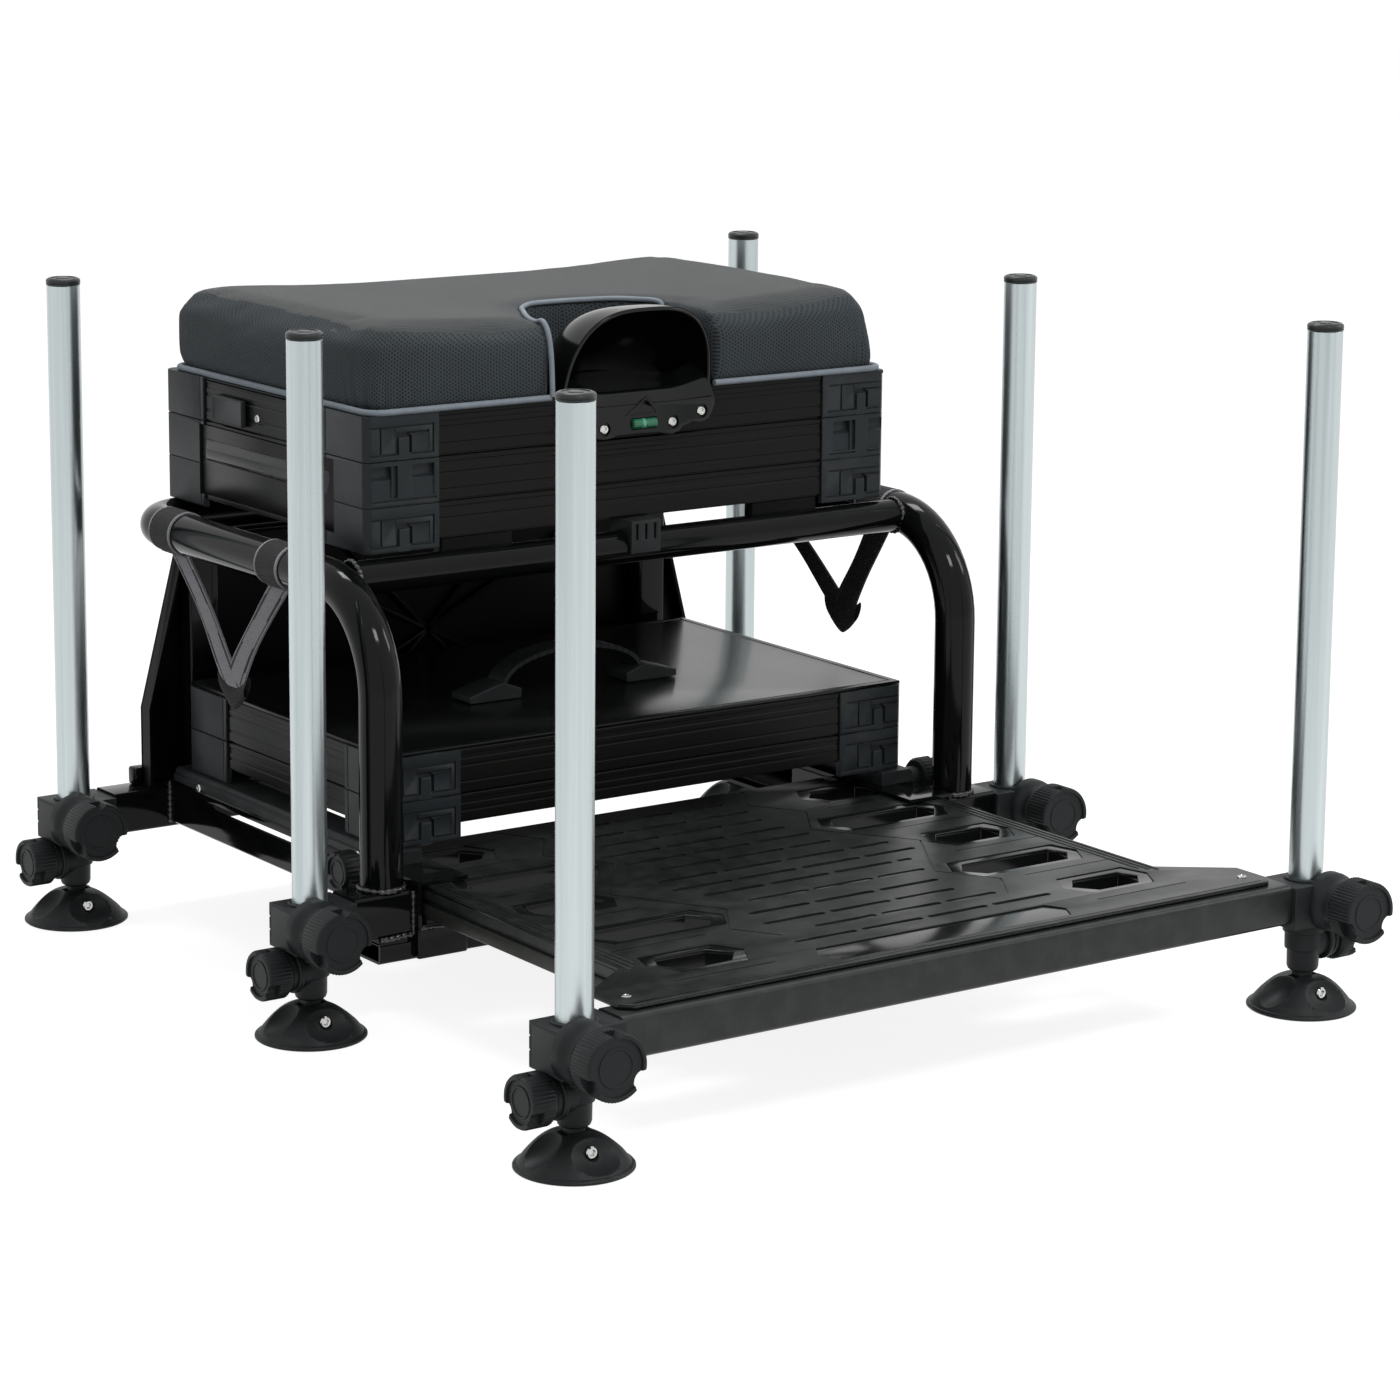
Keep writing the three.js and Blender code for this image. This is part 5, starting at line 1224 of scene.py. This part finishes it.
# Marks pressed into a corner's outer face, as (from, to, low, high, depth) along the face
cornerMarks = {
    "keyed": [
        (1.2, 57.0, 23.6, 25.0, 1.5), (55.4, 57.0, 4.6, 24.4, 1.5), (11.6, 13.2, 5.2, 23.8, 1.5),
        (-1.0, 25.4, 3.6, 5.2, 1.6), (37.0, 57.0, 3.6, 5.2, 1.6), (24.2, 36.6, 16.4, 20.4, 3.4),
        (36.0, 53.0, 18.8, 20.4, 2.0), (24.8, 27.8, 3.8, 17.5, 3.0), (35.8, 38.4, 5.0, 18.0, 3.0),
        (13.8, 24.9, 5.6, 23.2, 0.5), (38.8, 53.0, 5.8, 18.4, 0.7)],
    "scooped": [(22.6, 26.4, 6.4, 29.5, 2.6), (1.2, 59.0, 3.8, 5.2, 1.4)],
}
scoops = {"keyed": (), "scooped": ((5.0, 21.2), (38.6, 57.0))}
scoopOutline = [(-2, 29.4), (4.1, 29.4), (4.1, 21.6), (1.2, 19.2), (0.9, 6.4), (-2, 6.4)]
# Raised blocks on the same face, as (lower corner, upper corner, edge)
cornerBlocks = {
    "keyed": (((28.4, -0.2, -0.2), (35.4, 2.2, 15.6), 0.4), ((26.0, -0.1, -0.2), (37.0, 2.2, 3.4), 0.4)),
    "scooped": (((26.6, -0.1, 3.0), (37.6, 3, 30), 0.5),),
}


# Corner moulding for the front left, or the front right where the marks sit further along
def buildCorner(kind, right):
    t = tray
    c, thick = t["corner"], t["proud"] + t["wall"]
    high = t["tier"] - 0.3
    outline = [(0, t["chamfer"]), (t["chamfer"], 0), (c, 0), (c, thick), (thick, thick), (thick, c), (0, c)]
    if right:
        outline = [(c - u, v) for u, v in outline]
    body = cutFromSheet(f"corner_{kind}", [outline], "z", 0, high)
    shift, last = (5.2, 59.6) if right else (0, 60)
    tools = [
        addBox("mark", (start + shift, -2, low), (min(end + shift, last), deep, top))
        for start, end, low, top, deep in cornerMarks[kind]]
    for start, end in scoops[kind]:
        tools.append(cutFromSheet("scoop", [scoopOutline], "x", start + shift, min(end + shift, 59)))
    # the foot is stepped in all round, and a line runs up near the side's rear end
    foot = (c - 0.6, c + 2) if right else (-2, 0.6)
    line = (c - 0.7, c + 2) if right else (-2, 0.7)
    tools.append(addBox("mark", (-2, -2, -1), (c + 2, 0.6, 0.8)))
    tools.append(addBox("mark", (foot[0], -2, -1), (foot[1], c + 2, 0.8)))
    tools.append(addBox("mark", (line[0], c - 5.2, 2), (line[1], c - 4.2, high + 2)))
    carve(body, *tools)
    parts = [body]
    for (x0, y0, z0), (x1, y1, z1), edge in cornerBlocks[kind]:
        parts.append(soften(addBox("block", (x0 + shift, y0, z0), (x1 + shift, y1, z1)), edge, 1))
    padFrom = c - 44 if right else 20
    parts.append(addBox("pad", (padFrom, 0.8, high - 0.1), (padFrom + 24, 3.4, high + 0.25)))
    body = paint(soften(together(f"corner_{kind}", parts), 0.4, 2, 40), "corner")
    if right:
        body.data.transform(Matrix.Translation((-c * mm, 0, 0)))
    return body


cornerKinds = {
    (kind, right): buildCorner(kind, right) for kind in ("keyed", "scooped") for right in (False, True)}


# A tier's four corners; a door leaves room for the drawer on the left
def placeCorners(name, kind, stack, low, body, door=None):
    t, s = tray, stacks[stack]
    for end, turn in (("front", None), ("rear", Matrix.Rotation(math.pi, 4, "Z"))):
        for sideName, sign in sides.items():
            right = (sign > 0) == (end == "front")
            spot = (sign * t["half"], s[end], low)
            twin = copyOf(cornerKinds[kind, right], f"{name}_{end}_{sideName}_corner", spot, turn=turn)
            if door and sign < 0:
                carve(twin, addBox("door", *door))
                smoothBy(twin, 40)
            finishPiece(twin, body, "tray_black")


def buildFloor(name, stack, low, body, thick=2.5):
    t, s = tray, stacks[stack]
    inset = t["proud"] + t["wall"] - 0.3
    half, top = t["half"] - inset, low + thick
    floor = addBox(f"{name}_floor", (-half, s["front"] + inset, low), (half, s["rear"] - inset, top))
    ribs = [
        addBox("rib", (x - 1.5, s["front"] + 40, top - 0.3), (x + 1.5, s["rear"] - 40, top + 1.2))
        for x in (-150, -75, 0, 75, 150)]
    floor = soften(together(f"{name}_floor", [floor, *ribs]), 0.6, 1)
    dress(floor, "nylon", body, "tray_black")


# A tray of the case, whose walls and floor may stop short of its corners' feet
def buildTray(name, low, lift):
    grooves = [(z - lift, step) for z, step in tierGrooves if z > lift + 1]
    high = tray["tier"] - 0.3 - lift
    for face in ("front", "rear", "left", "right"):
        nodes = [name] if face == "front" else []
        buildWall(f"{name}_{face}_wall", face, "case", low + lift, high, grooves, "tray_case", *nodes)
    buildFloor(name, "case", low + lift, "tray_case")
    placeCorners(name, "keyed", "case", low, "tray_case")


buildTray("lower_tray", 115, 11.5)
buildTray("upper_tray", 148.3, 0)


seatUnit = {"foot": 325, "floor": 331, "shelf": 372, "joint": 391, "base": 391.3}
drawerSize = {"front": 105, "rear": 306, "low": 335, "top": 388}
leftFace = -tray["half"] + tray["proud"]
hinge = {
    "y": 365.5, "z": 391, "radius": 4.4, "hole": 2.4, "leafFrom": 357.6, "width": 30,
    # as (part, distance out, body, leaf's low, leaf's top)
    "ears": (("tray", 185, "frame", 386.6, 390.7), ("seat", 154.7, "seat", 391.4, 395.4)),
}


def buildSeatUnit():
    u, t, s, d = seatUnit, tray, stacks["seat"], drawerSize
    door = (-240, d["front"] - 0.3, d["low"] - 0.3), (-200, d["rear"] + 0.3, d["top"] + 0.3)
    placeCorners("deep_low", "keyed", "seat", u["foot"], "frame", door)
    placeCorners("deep_high", "scooped", "seat", u["foot"] + t["tier"], "frame", door)
    placeCorners("seat_base", "keyed", "seat", u["base"], "seat")
    for face in ("front", "rear", "right"):
        for part, low, high in (("low", u["floor"], 26.9), ("high", 358.2, 32.6)):
            cut = t["tier"] - high
            grooves = [(z - cut, step) for z, step in tierGrooves if z > cut + 2]
            nodes = ["deep_tray"] if (face, part) == ("front", "low") else []
            buildWall(f"deep_{face}_{part}_wall", face, "seat", low, high, grooves, "frame", *nodes)
    strips = [
        addBox("strip", (leftFace, s["front"] + 60, z0), (leftFace + 3, s["rear"] - 60, z1))
        for z0, z1 in ((u["floor"], d["low"] - 0.3), (d["top"] + 0.3, u["joint"]))]
    strips = soften(together("deep_left_wall", strips), 0.5, 1)
    dress(strips, "extrusion", "frame", "tray_black")
    buildFloor("deep_tray", "seat", u["floor"], "frame")
    buildFloor("deep_shelf", "seat", u["shelf"], "frame", 2.4)
    for face in ("front", "rear", "left", "right"):
        nodes = ["seat_base"] if face == "front" else []
        buildWall(f"seat_base_{face}_wall", face, "seat", u["base"], 32.6, tierGrooves, "seat", *nodes)
    roof = addBox(
        "seat_base_roof", (leftFace, s["front"] + 1.6, 421.2), (-leftFace, s["rear"] - 1.6, 423.9))
    dress(soften(roof, 0.7), "nylon", "seat", "tray_black")


# Each ear has a leaf, and both have the pin's hole
def buildHinge():
    y, z = hinge["y"], hinge["z"]
    for side, sign in sides.items():
        for part, out, body, low, top in hinge["ears"]:
            start, end = sorted((sign * out, sign * (out + hinge["width"])))
            ear = addRod("ear", hinge["radius"], (start, y, z), (end, y, z), 24)
            leaf = addBox("leaf", (start, hinge["leafFrom"], low), (end, y, top))
            for solid in (ear, leaf):
                carve(solid, addRod("hole", hinge["hole"], (start - 2, y, z), (end + 2, y, z), 20))
            ear = together(f"{side}_{part}_hinge_ear", [ear, leaf])
            dress(smoothBy(ear), "bar", body, "tray_black")


def buildDrawer():
    d, left = drawerSize, leftFace
    front = addBox("drawer_front", (left, d["front"], d["low"]), (left + 3, d["rear"], d["top"]))
    dress(soften(front, 0.7), "extrusion", "drawer", "tray_black", "side_drawer")
    start, end = d["front"] + 8, d["rear"] - 9
    pull = cutFromSheet("drawer_pull", [[
        (left + 1, 378), (left - 0.4, 377.6), (left - 5.2, 372.4), (left - 5.4, 371.6), (left - 5.4, 365.4),
        (left - 4.8, 364.2), (left + 1, 360.4)]], "y", start, end)
    # its outer face is shorter than its foot, most at the front
    for tip, way in ((start, 26), (end, -8)):
        pick(pull, "points", lambda p: abs(p.y - tip) < 1 and p.x < left - 3)
        bpy.ops.transform.translate(value=(0, way * mm, 0))
        bpy.ops.object.mode_set(mode="OBJECT")
    dress(soften(pull, 0.5, 2, 20), "pull", "drawer", "tray_black")
    body = addBox("drawer_body", (left + 2.5, 109, 335.4), (19, 302, 370.6))
    carve(body, addBox("room", (left + 3, 111.5, 338), (16.5, 299.5, 400)))
    dress(soften(body, 0.8), "nylon", "drawer", "tray_black")
    catch = addBox("lid_catch_plate", (-236.2, 235, 394), (-231.3, 279, 414))
    pick(catch, "faces", lambda c, n: n.x < -0.9)
    insetPicked((1.6, (0.8, 0, 0)))
    dress(soften(catch, 0.9, 2), "corner", "catch", "tray_black", "lid_catch")
    screw = screwHead("seat_base_screw", (left, 217, 403), (-1, 0, 0), 3.0, 1.8)
    finishPiece(screw, "seat", "steel")


def buildCaseLid():
    sheet = addBox("case_lid_sheet", (-230.5, 33.5, 181.6), (230.5, 329.5, 184.0))
    pick(sheet, "faces", lambda c, n: n.z > 0.9)
    bpy.ops.mesh.inset(thickness=5 * mm)
    insetPicked((1.2, (0, 0, -0.8)), (1.0, (0, 0, 0.6)))
    dress(soften(sheet, 0.5, 2), "lid", "case_lid", "lid_black", "case_lid")


handle = {
    "y": 155, "end": 95, "foot": 48, "peak": 64.5, "half": 13, "strapHalf": 11, "base": 184.4, "steps": 24,
}


def buildHandle():
    h = handle
    low, y, half = h["base"] + 7, h["y"], h["strapHalf"]
    outer, inner = [], []
    for k in range(h["steps"] + 1):
        angle = math.pi * k / h["steps"]
        bulge = math.sin(angle) ** 0.9
        outer.append((h["peak"] * math.cos(angle), low + 28 * bulge))
        inner.insert(0, ((h["peak"] - 3.5) * math.cos(angle), low + 24.5 * bulge))
    strap = cutFromSheet("handle_strap", [outer + inner], "y", y - half, y + half)
    notches = []
    for k in range(5, 20):
        angle = math.pi * k / h["steps"]
        x, z = (h["peak"] - 1) * math.cos(angle), low + 27 * math.sin(angle)
        for edge in (y - half - 0.6, y + half + 0.6):
            notches.append(addRod("notch", 1.6, (x, edge, z - 9), (x, edge, z + 9), 8))
    carve(strap, together("notches", notches))
    dress(soften(strap, 0.5, 1), "nylon", "case_lid", "moulded_black", "carry_handle")
    for side, sign in sides.items():
        outline = toSide(sign, [
            (h["end"], h["base"]), (h["foot"], h["base"]), (h["foot"], low), (h["peak"], h["base"] + 13),
            (h["peak"] + 4, h["base"] + 12.4), (h["end"], h["base"] + 5)])
        foot = cutFromSheet(f"{side}_handle_foot", [outline], "y", y - h["half"], y + h["half"])
        dress(soften(foot, 1.2, 3), "nylon", "case_lid", "moulded_black")


buildSeatUnit()
buildHinge()
buildDrawer()
buildCaseLid()
buildHandle()
for model in cornerKinds.values():
    bpy.data.objects.remove(model)
print("trays, drawer and case lid built")

# Cushion: a crowned pad with mesh sides, swelled by a short cloth simulation, then piped

cushion = {
    "half": 230, "front": 57.5, "rear": 356, "low": 424.4, "high": 57.5, "horn": 5.5, "sag": 1.5,
    "rollFront": 0.17, "rollRear": 0.10, "rollEnd": 0.07, "rim": 0.76, "tuck": 3, "cornerLow": 0.02,
    "cornerHigh": 0.10, "voxel": 4.5, "pressure": 1.2, "cap": 2.2, "frames": 18, "relax": 3,
    # the lip of the cut seen from above, from its left front round to its right front
    "lip": ((-76.3, 57), (-76.2, 64), (-75.8, 71), (-74.4, 82), (-71, 96), (-64, 113), (-56, 128),
            (-51, 138), (-44, 147), (-30, 157), (-8, 162), (16, 160), (40, 152), (56, 140), (64, 126),
            (69, 108), (70.5, 88), (70.5, 57)),
    "crease": {"x": 214, "y": 74, "reach": 42, "top": 46, "depth": 2.6},
}
piping = {
    "left": -77, "right": 69, "corner": 13, "radius": 2.4, "lipRadius": 2.0,
    # where it climbs the cut's left front corner, and where it ends on the right
    "climb": ((-76.5, 56.6, 427.4), (-76.4, 57.3, 440), (-76.4, 58.4, 455), (-76.3, 60.4, 466),
              (-76.2, 64, 475), (-75.8, 71, 481)),
    "end": ((65.5, 122, 476), (66, 120, 464)),
}


def easeIn(value):
    value = min(1, max(0, value))
    return value * value * (3 - 2 * value)


# Bends a cube's point into the pad: u and v run from -1 to 1 across it and w from 0 to 1 upwards
def shapeCushion(u, v, w):
    c = cushion
    half, deep = c["half"] - 1.5, (c["rear"] - c["front"]) / 2 - 1.5
    edge = max(abs(u), abs(v))
    square = edge / (math.hypot(u, v) or 1)
    diagonal = 1 - abs(abs(u) - abs(v))
    corner = c["cornerLow"] + (c["cornerHigh"] - c["cornerLow"]) * w * easeIn(0.5 - v)
    blend = 1 - corner * (diagonal * edge) ** 6 / (square + 1)
    # the long sides roll over more than the ends, the front most
    sideRoll = c["rollRear"] + (c["rollFront"] - c["rollRear"]) * easeIn(0.5 - v)
    roll = c["rollEnd"] + (sideRoll - c["rollEnd"]) * easeIn((abs(v) - abs(u) + 0.12) / 0.24)
    over = max(0, (edge - 1 + roll) / roll)
    shoulder = math.sqrt(max(0, 1 - over ** 2.2))
    height = c["high"] + c["horn"] * easeIn((abs(u) - 0.3) / 0.7) - c["sag"] * abs(v) ** 3
    rim = height * c["rim"]
    top = rim + (height - rim) * shoulder
    tuck = c["tuck"] * (1 - min(1, w / 0.5)) ** 2
    middle = (c["front"] + c["rear"]) / 2
    return (u * (half - tuck * edge) * blend, middle + v * (deep - tuck * edge) * blend, c["low"] + w * top)


# Short of the cap, the cover swells as a cloth under pressure does; its foot stays where it is
def swell(piece):
    c = cushion
    applyModifier(piece, "REMESH", mode="VOXEL", voxel_size=c["voxel"] * mm, use_smooth_shade=True)
    rest = [point.co.copy() for point in piece.data.vertices]
    cloth = piece.modifiers.new("swell", "CLOTH")
    cloth.settings.use_pressure = True
    cloth.settings.uniform_pressure_force = c["pressure"]
    cloth.settings.tension_stiffness = cloth.settings.compression_stiffness = 12
    cloth.settings.effector_weights.gravity = 0
    pins = piece.vertex_groups.new(name="seated")
    pins.add([k for k, co in enumerate(rest) if co.z < (c["low"] + 4) * mm], 1.0, "REPLACE")
    cloth.settings.vertex_group_mass = pins.name
    for step in range(1, c["frames"] + 1):
        bpy.context.scene.frame_set(step)
    onlySelect(piece)
    bpy.ops.object.modifier_apply(modifier=cloth.name)
    bpy.context.scene.frame_set(1)
    for point, start in zip(piece.data.vertices, rest):
        away = point.co - start
        if away.length > c["cap"] * mm:
            point.co = start + away.normalized() * c["cap"] * mm
    applyModifier(piece, "SMOOTH", factor=0.5, iterations=c["relax"])
    piece.vertex_groups.clear()
    return piece


# The hood's cut follows the lip and runs out well in front of the pad
def cushionCut(name, low, high):
    lip, mouth = cushion["lip"], cushion["front"] - 40
    return cutFromSheet(name, [[(lip[-1][0], mouth), *reversed(lip), (lip[0][0], mouth)]], "z", low, high)


# Soft puckers run up from the piping at the front corners
def crease(pad):
    c = cushion["crease"]
    for point in pad.data.vertices:
        p = point.co / mm
        height = p.z - cushion["low"]
        if height < 1 or height > c["top"]:
            continue
        near = max(0, 1 - math.hypot(abs(p.x) - c["x"], p.y - c["y"]) / c["reach"])
        fold = max(0, math.sin((p.x + p.y) * 0.62 + math.sin(p.z * 0.09) * 1.6)) ** 2
        out = Vector((p.x / cushion["half"], (p.y - 207) / 150, 0))
        if out.length > 0.1:
            point.co -= out.normalized() * (fold * near * (1 - height / c["top"]) * c["depth"]) * mm


# The piping runs round the bottom edge, and up and over the lip of the cut
def buildPiping(pad):
    c, p = cushion, piping
    low, front, r = c["low"] + 2.0, c["front"] + 1.5, p["corner"]
    x, rear = c["half"] - 1.5 - r, c["rear"] - 3 - r
    route = [(p["right"], front - 0.5, low)]
    for cx, cy, start in ((x, front + r, 270), (x, rear, 0), (-x, rear, 90), (-x, front + r, 180)):
        for k in range(7):
            angle = math.radians(start + 90 * k / 6)
            route.append((cx + r * math.cos(angle), cy + r * math.sin(angle), low))
    route.append((p["left"], front - 0.5, low))
    bottom = pipeAlong("cushion_piping", route, p["radius"], 12)
    over = list(p["climb"])
    top = BVHTree.FromObject(pad, bpy.context.evaluated_depsgraph_get())
    for x, y in c["lip"][3:15]:
        away = Vector((x, y - 95, 0)).normalized() * 3
        found = top.ray_cast(Vector((x + away.x, y + away.y, 560)) * mm, Vector((0, 0, -1)))[0]
        over.append((x, y, found.z / mm + 0.3))
    over += p["end"]
    edge = pipeAlong("cushion_edge_piping", smoothRoute(over, 4), p["lipRadius"], 12)
    dress(together("cushion_piping", [bottom, edge]), "piping", "seat", "seat_fabric")


def buildCushion():
    bpy.ops.object.select_all(action="DESELECT")
    bpy.ops.mesh.primitive_cube_add(size=2)
    pad = bpy.context.object
    bpy.ops.object.mode_set(mode="EDIT")
    bpy.ops.mesh.select_all(action="SELECT")
    bpy.ops.mesh.subdivide(number_cuts=35)
    bpy.ops.object.mode_set(mode="OBJECT")
    for point in pad.data.vertices:
        u, v, w = point.co.x, point.co.y, (point.co.z + 1) / 2
        point.co = Vector(shapeCushion(u, v, w)) * mm
    carve(pad, cushionCut("cut", 380, 560))
    swell(pad)
    applyModifier(pad, "SUBSURF", levels=1, render_levels=1)
    crease(pad)
    paint(named(pad, "cushion_pad"), "cover", "meshCloth")
    # mesh cloth on the sides, the plain cover on top and underneath; the cover is lighter, partly its own
    # colour and partly painted light on the top
    for face in pad.data.polygons:
        face.material_index = 1 if -0.5 < face.normal.z < 0.8 else 0
    smoothBy(pad, 75)
    finishPiece(pad, "seat", "seat_fabric", "cushion")
    buildPiping(pad)


buildCushion()
print("cushion built")

# Pole hood: a flared scoop with a thick rim over a screwed flange, and the spirit level in it

hood = {
    "half": 66.6, "low": 424.3, "top": 489.2, "rear": 128.4, "foot": 60, "lean": 14.5, "wall": 2.6,
    "rim": 1.5, "face": 53.4, "back": 59.2, "screws": ((-33, 400), (28, 401), (54, 407)),
    "flange": ((-66.4, 396), (-42, 394.4), (-39, 392.6), (-33, 391.8), (-26, 392.8), (-22, 394.2),
               (16, 393.4), (21, 392.0), (28, 391.6), (34, 393.4), (37, 396.4), (46, 399.4), (54, 398.2),
               (61, 400.6), (64, 406), (66.4, 412), (66.4, 424), (-66.4, 424)),
    "vial": (2, 53.2, 402),
}


# A point of the scoop's outer skin: turn runs over the arch, back from the mouth to the tail
def hoodPoint(turn, back, inset=0.0):
    h = hood
    cosine, sine = math.cos(math.pi * turn), math.sin(math.pi * turn)
    mouth = h["foot"] - h["lean"] * sine ** 0.8
    size = (1 - back ** 2.7) ** 0.5
    x = (h["half"] - inset) * math.copysign(abs(cosine) ** 0.66, cosine) * (1 - 0.1 * sine ** 0.68)
    z = (h["top"] - h["low"] - inset) * sine ** 0.68
    # the rear falls away faster at the sides, so the top runs back as a soft ridge
    return x * size, mouth + (h["rear"] - inset - mouth) * back, h["low"] + z * size ** 0.9


# The floor falls forward over the flange and lifts into a facet at each cheek
def hoodFloorPoint(u, v):
    h = hood
    start = h["face"] + 1.4
    x, y = (u - 0.5) * 2, start + 68 * v
    wide = 64.8 * math.sqrt(max(0, 1 - (max(0, y - h["foot"]) / 66.5) ** 2.7))
    lift = max(0, (abs(x) - 0.45) / 0.55) ** 1.3
    rise = 17 * lift * max(0, 1 - abs(y - 77) / 24)
    drop = 8.8 * max(0, 1 - (y - start) / 6.2) ** 1.4
    return x * wide, y, 425.2 + 0.09 * (y - h["face"]) + rise - drop


def hoodSkin(name, inset):
    def place(u, v):
        return hoodPoint(u, min(math.sin(v * math.pi / 2), 0.9995), inset)

    return bendGrid(name, 56, 24, place, 0)


def buildFlange():
    h = hood
    x, y, z = h["vial"]
    flange = cutFromSheet("flange", [h["flange"]], "y", h["face"], h["back"], 1.1, 2)
    tools = [addRod("recess", 5.3, (x, 50, z), (x, 54.9, z), 32) for x, z in h["screws"]]
    # its top edge slopes back into the floor
    slope = [(h["face"] - 2, 411), (h["back"], 423.6), (h["back"], 430), (50, 430)]
    tools.append(cutFromSheet("slope", [slope], "x", -70, 70))
    tools.append(addRod("vial_room", 4.4, (x - 11.2, y - 0.2, z), (x + 11.2, y - 0.2, z), 24))
    return smoothBy(carve(flange, *tools), 30)


def buildHood():
    h = hood
    skin = hoodSkin("pole_hood_shell", 0)
    lining = hoodSkin("lining", h["wall"])
    lining.data.flip_normals()
    arch = [Vector(hoodPoint(k / 48, 0, h["wall"] / 2 + 0.4)) + Vector((0, 0.6, 0)) for k in range(49)]
    rim = pipeAlong("pole_hood_rim", arch, h["rim"], 16)
    floorSheet = bendGrid("floor", 48, 44, hoodFloorPoint, 1.2)
    flange = buildFlange()
    mark = cutFromSheet("mark", [
        [(-15, 408.6), (4, 422.4), (16, 408.6)], [(-10.4, 409.8), (3.6, 420.0), (12.6, 409.8)]],
        "y", 52.7, 53.8, 0.3, 1)
    whole = together("pole_hood_shell", [skin, lining, floorSheet, flange, mark])
    dress(smoothBy(whole, 40), "hood", "seat", "gloss_black", "pole_hood")
    dress(rim, "hood", "seat", "gloss_black")
    screws = [screwHead("screw", (x, 55.0, z), (0, -1, 0), 3.5, 2.0) for x, z in h["screws"]]
    finishPiece(together("hood_screws", screws), "seat", "steel")
    vial = spinProfile(
        "vial_tube", [(0, -10.5), (2.9, -10.5), (3.7, -9.8), (3.7, 9.8), (2.9, 10.5), (0, 10.5)],
        32, h["vial"], (1, 0, 0))
    dress(vial, "vial", "seat", "vial_green", "spirit_level")
    rings = [weldRing("ring", (x, *h["vial"][1:]), (1, 0, 0), 3.6, 0.35, 6) for x in (-1.5, 2.5)]
    dress(together("spirit_level_rings", rings), "cap", "seat", "gloss_black")


buildHood()
print("pole hood built")

# Carrying straps: flat webbing wrapped round the hoops, with a sleeve at the bottom of each V

straps = {
    "left": {"x": -257, "front": 134, "rear": 297, "low": 212, "drop": 122, "web": "webbingGrey",
             "slot": "webbing_grey"},
    "right": {"x": 257, "front": 93, "rear": 257, "low": 143, "drop": 109, "web": "webbingDark",
              "slot": "webbing_black"},
}
webbing = {"half": 14, "thick": 1.8, "wrap": 32, "wrapThick": 1.2, "sleeveHalf": 23}


# One leg of the V hangs straight down the side, a little bowed; two dark lines are woven into it
def buildWebbing(side, leg, hangZ, fall):
    s, w, sign = straps[side], webbing, sides[side]
    top = s[leg]

    def middleAt(u):
        return top + (s["low"] - top) * (u + 0.06 * math.sin(math.pi * u))

    def place(u, v):
        bow = 1.2 * math.sin(math.pi * u) + 0.7 * math.sin(7 * u + top) + 0.35 * math.sin(math.pi * v)
        across = (v - 0.5) * 2 * w["half"] * (1 - 0.12 * math.sin(math.pi * easeIn(u)))
        return s["x"] + sign * bow, middleAt(u) + across, hangZ - fall * u

    ribbon = bendGrid(f"{side}_{leg}_webbing", 40, 16, place, w["thick"])
    paint(ribbon, s["web"], "webbingLine")
    for face in ribbon.data.polygons:
        p = face.center / mm
        share = abs(p.y - middleAt(min(max((hangZ - p.z) / fall, 0), 1))) / w["half"]
        face.material_index = 1 if 0.62 < share < 0.8 else 0
    nodes = [f"{side}_strap"] if leg == "front" else []
    finishPiece(ribbon, "frame", s["slot"], *nodes)


# The leg's end goes once round the hoop, with a grey line along either edge
def buildWrap(side, leg):
    s, w, middle = straps[side], webbing, straps[side][leg]

    def place(u, v):
        angle = 2 * math.pi * u
        r = hoop["radius"] + 0.1 + w["wrapThick"] / 2 + (0.8 if math.cos(angle) < -0.96 else 0)
        return s["x"] + r * math.sin(angle), middle + (v - 0.5) * w["wrap"], hoop["z"] + r * math.cos(angle)

    wrap = bendGrid(f"{side}_{leg}_wrap", 48, 16, place, w["wrapThick"])
    paint(wrap, "webbingDark", "webbingGrey")
    for face in wrap.data.polygons:
        share = abs(face.center.y / mm - middle) / (w["wrap"] / 2)
        face.material_index = 1 if share > 0.86 else 0
    finishPiece(wrap, "frame", "webbing_black")


def buildStrap(side):
    s, w = straps[side], webbing
    lowZ = hoop["z"] - s["drop"]
    hangZ = hoop["z"] - hoop["radius"] + 4.6
    for leg in ("front", "rear"):
        buildWebbing(side, leg, hangZ, hangZ - lowZ - 18)
        buildWrap(side, leg)

    def place(u, v):
        angle = 2 * math.pi * v
        spread = (u - 0.5) * 2
        y = s["low"] + spread * (w["sleeveHalf"] - 3)
        z = lowZ + 9.5 + abs(spread) ** 1.6 * 11
        flat = (9.5 - 1.5 * abs(spread)) * math.cos(angle)
        return s["x"] + 2.6 * math.sin(angle), y + 0.35 * flat * spread, z + flat

    sleeve = bendGrid(f"{side}_sleeve", 24, 24, place, 0)
    dress(sleeve, "webbingDark", "frame", "webbing_black")


for side in straps:
    buildStrap(side)
print("straps built")

# The seat's hinge pin stays as the solids have it, in the same steel as the screws
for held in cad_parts["lid_hinge_pin"].material_slots:
    held.material = finishes["steel"]

# Bring the view layer up to date
view.update()
print("scene built")
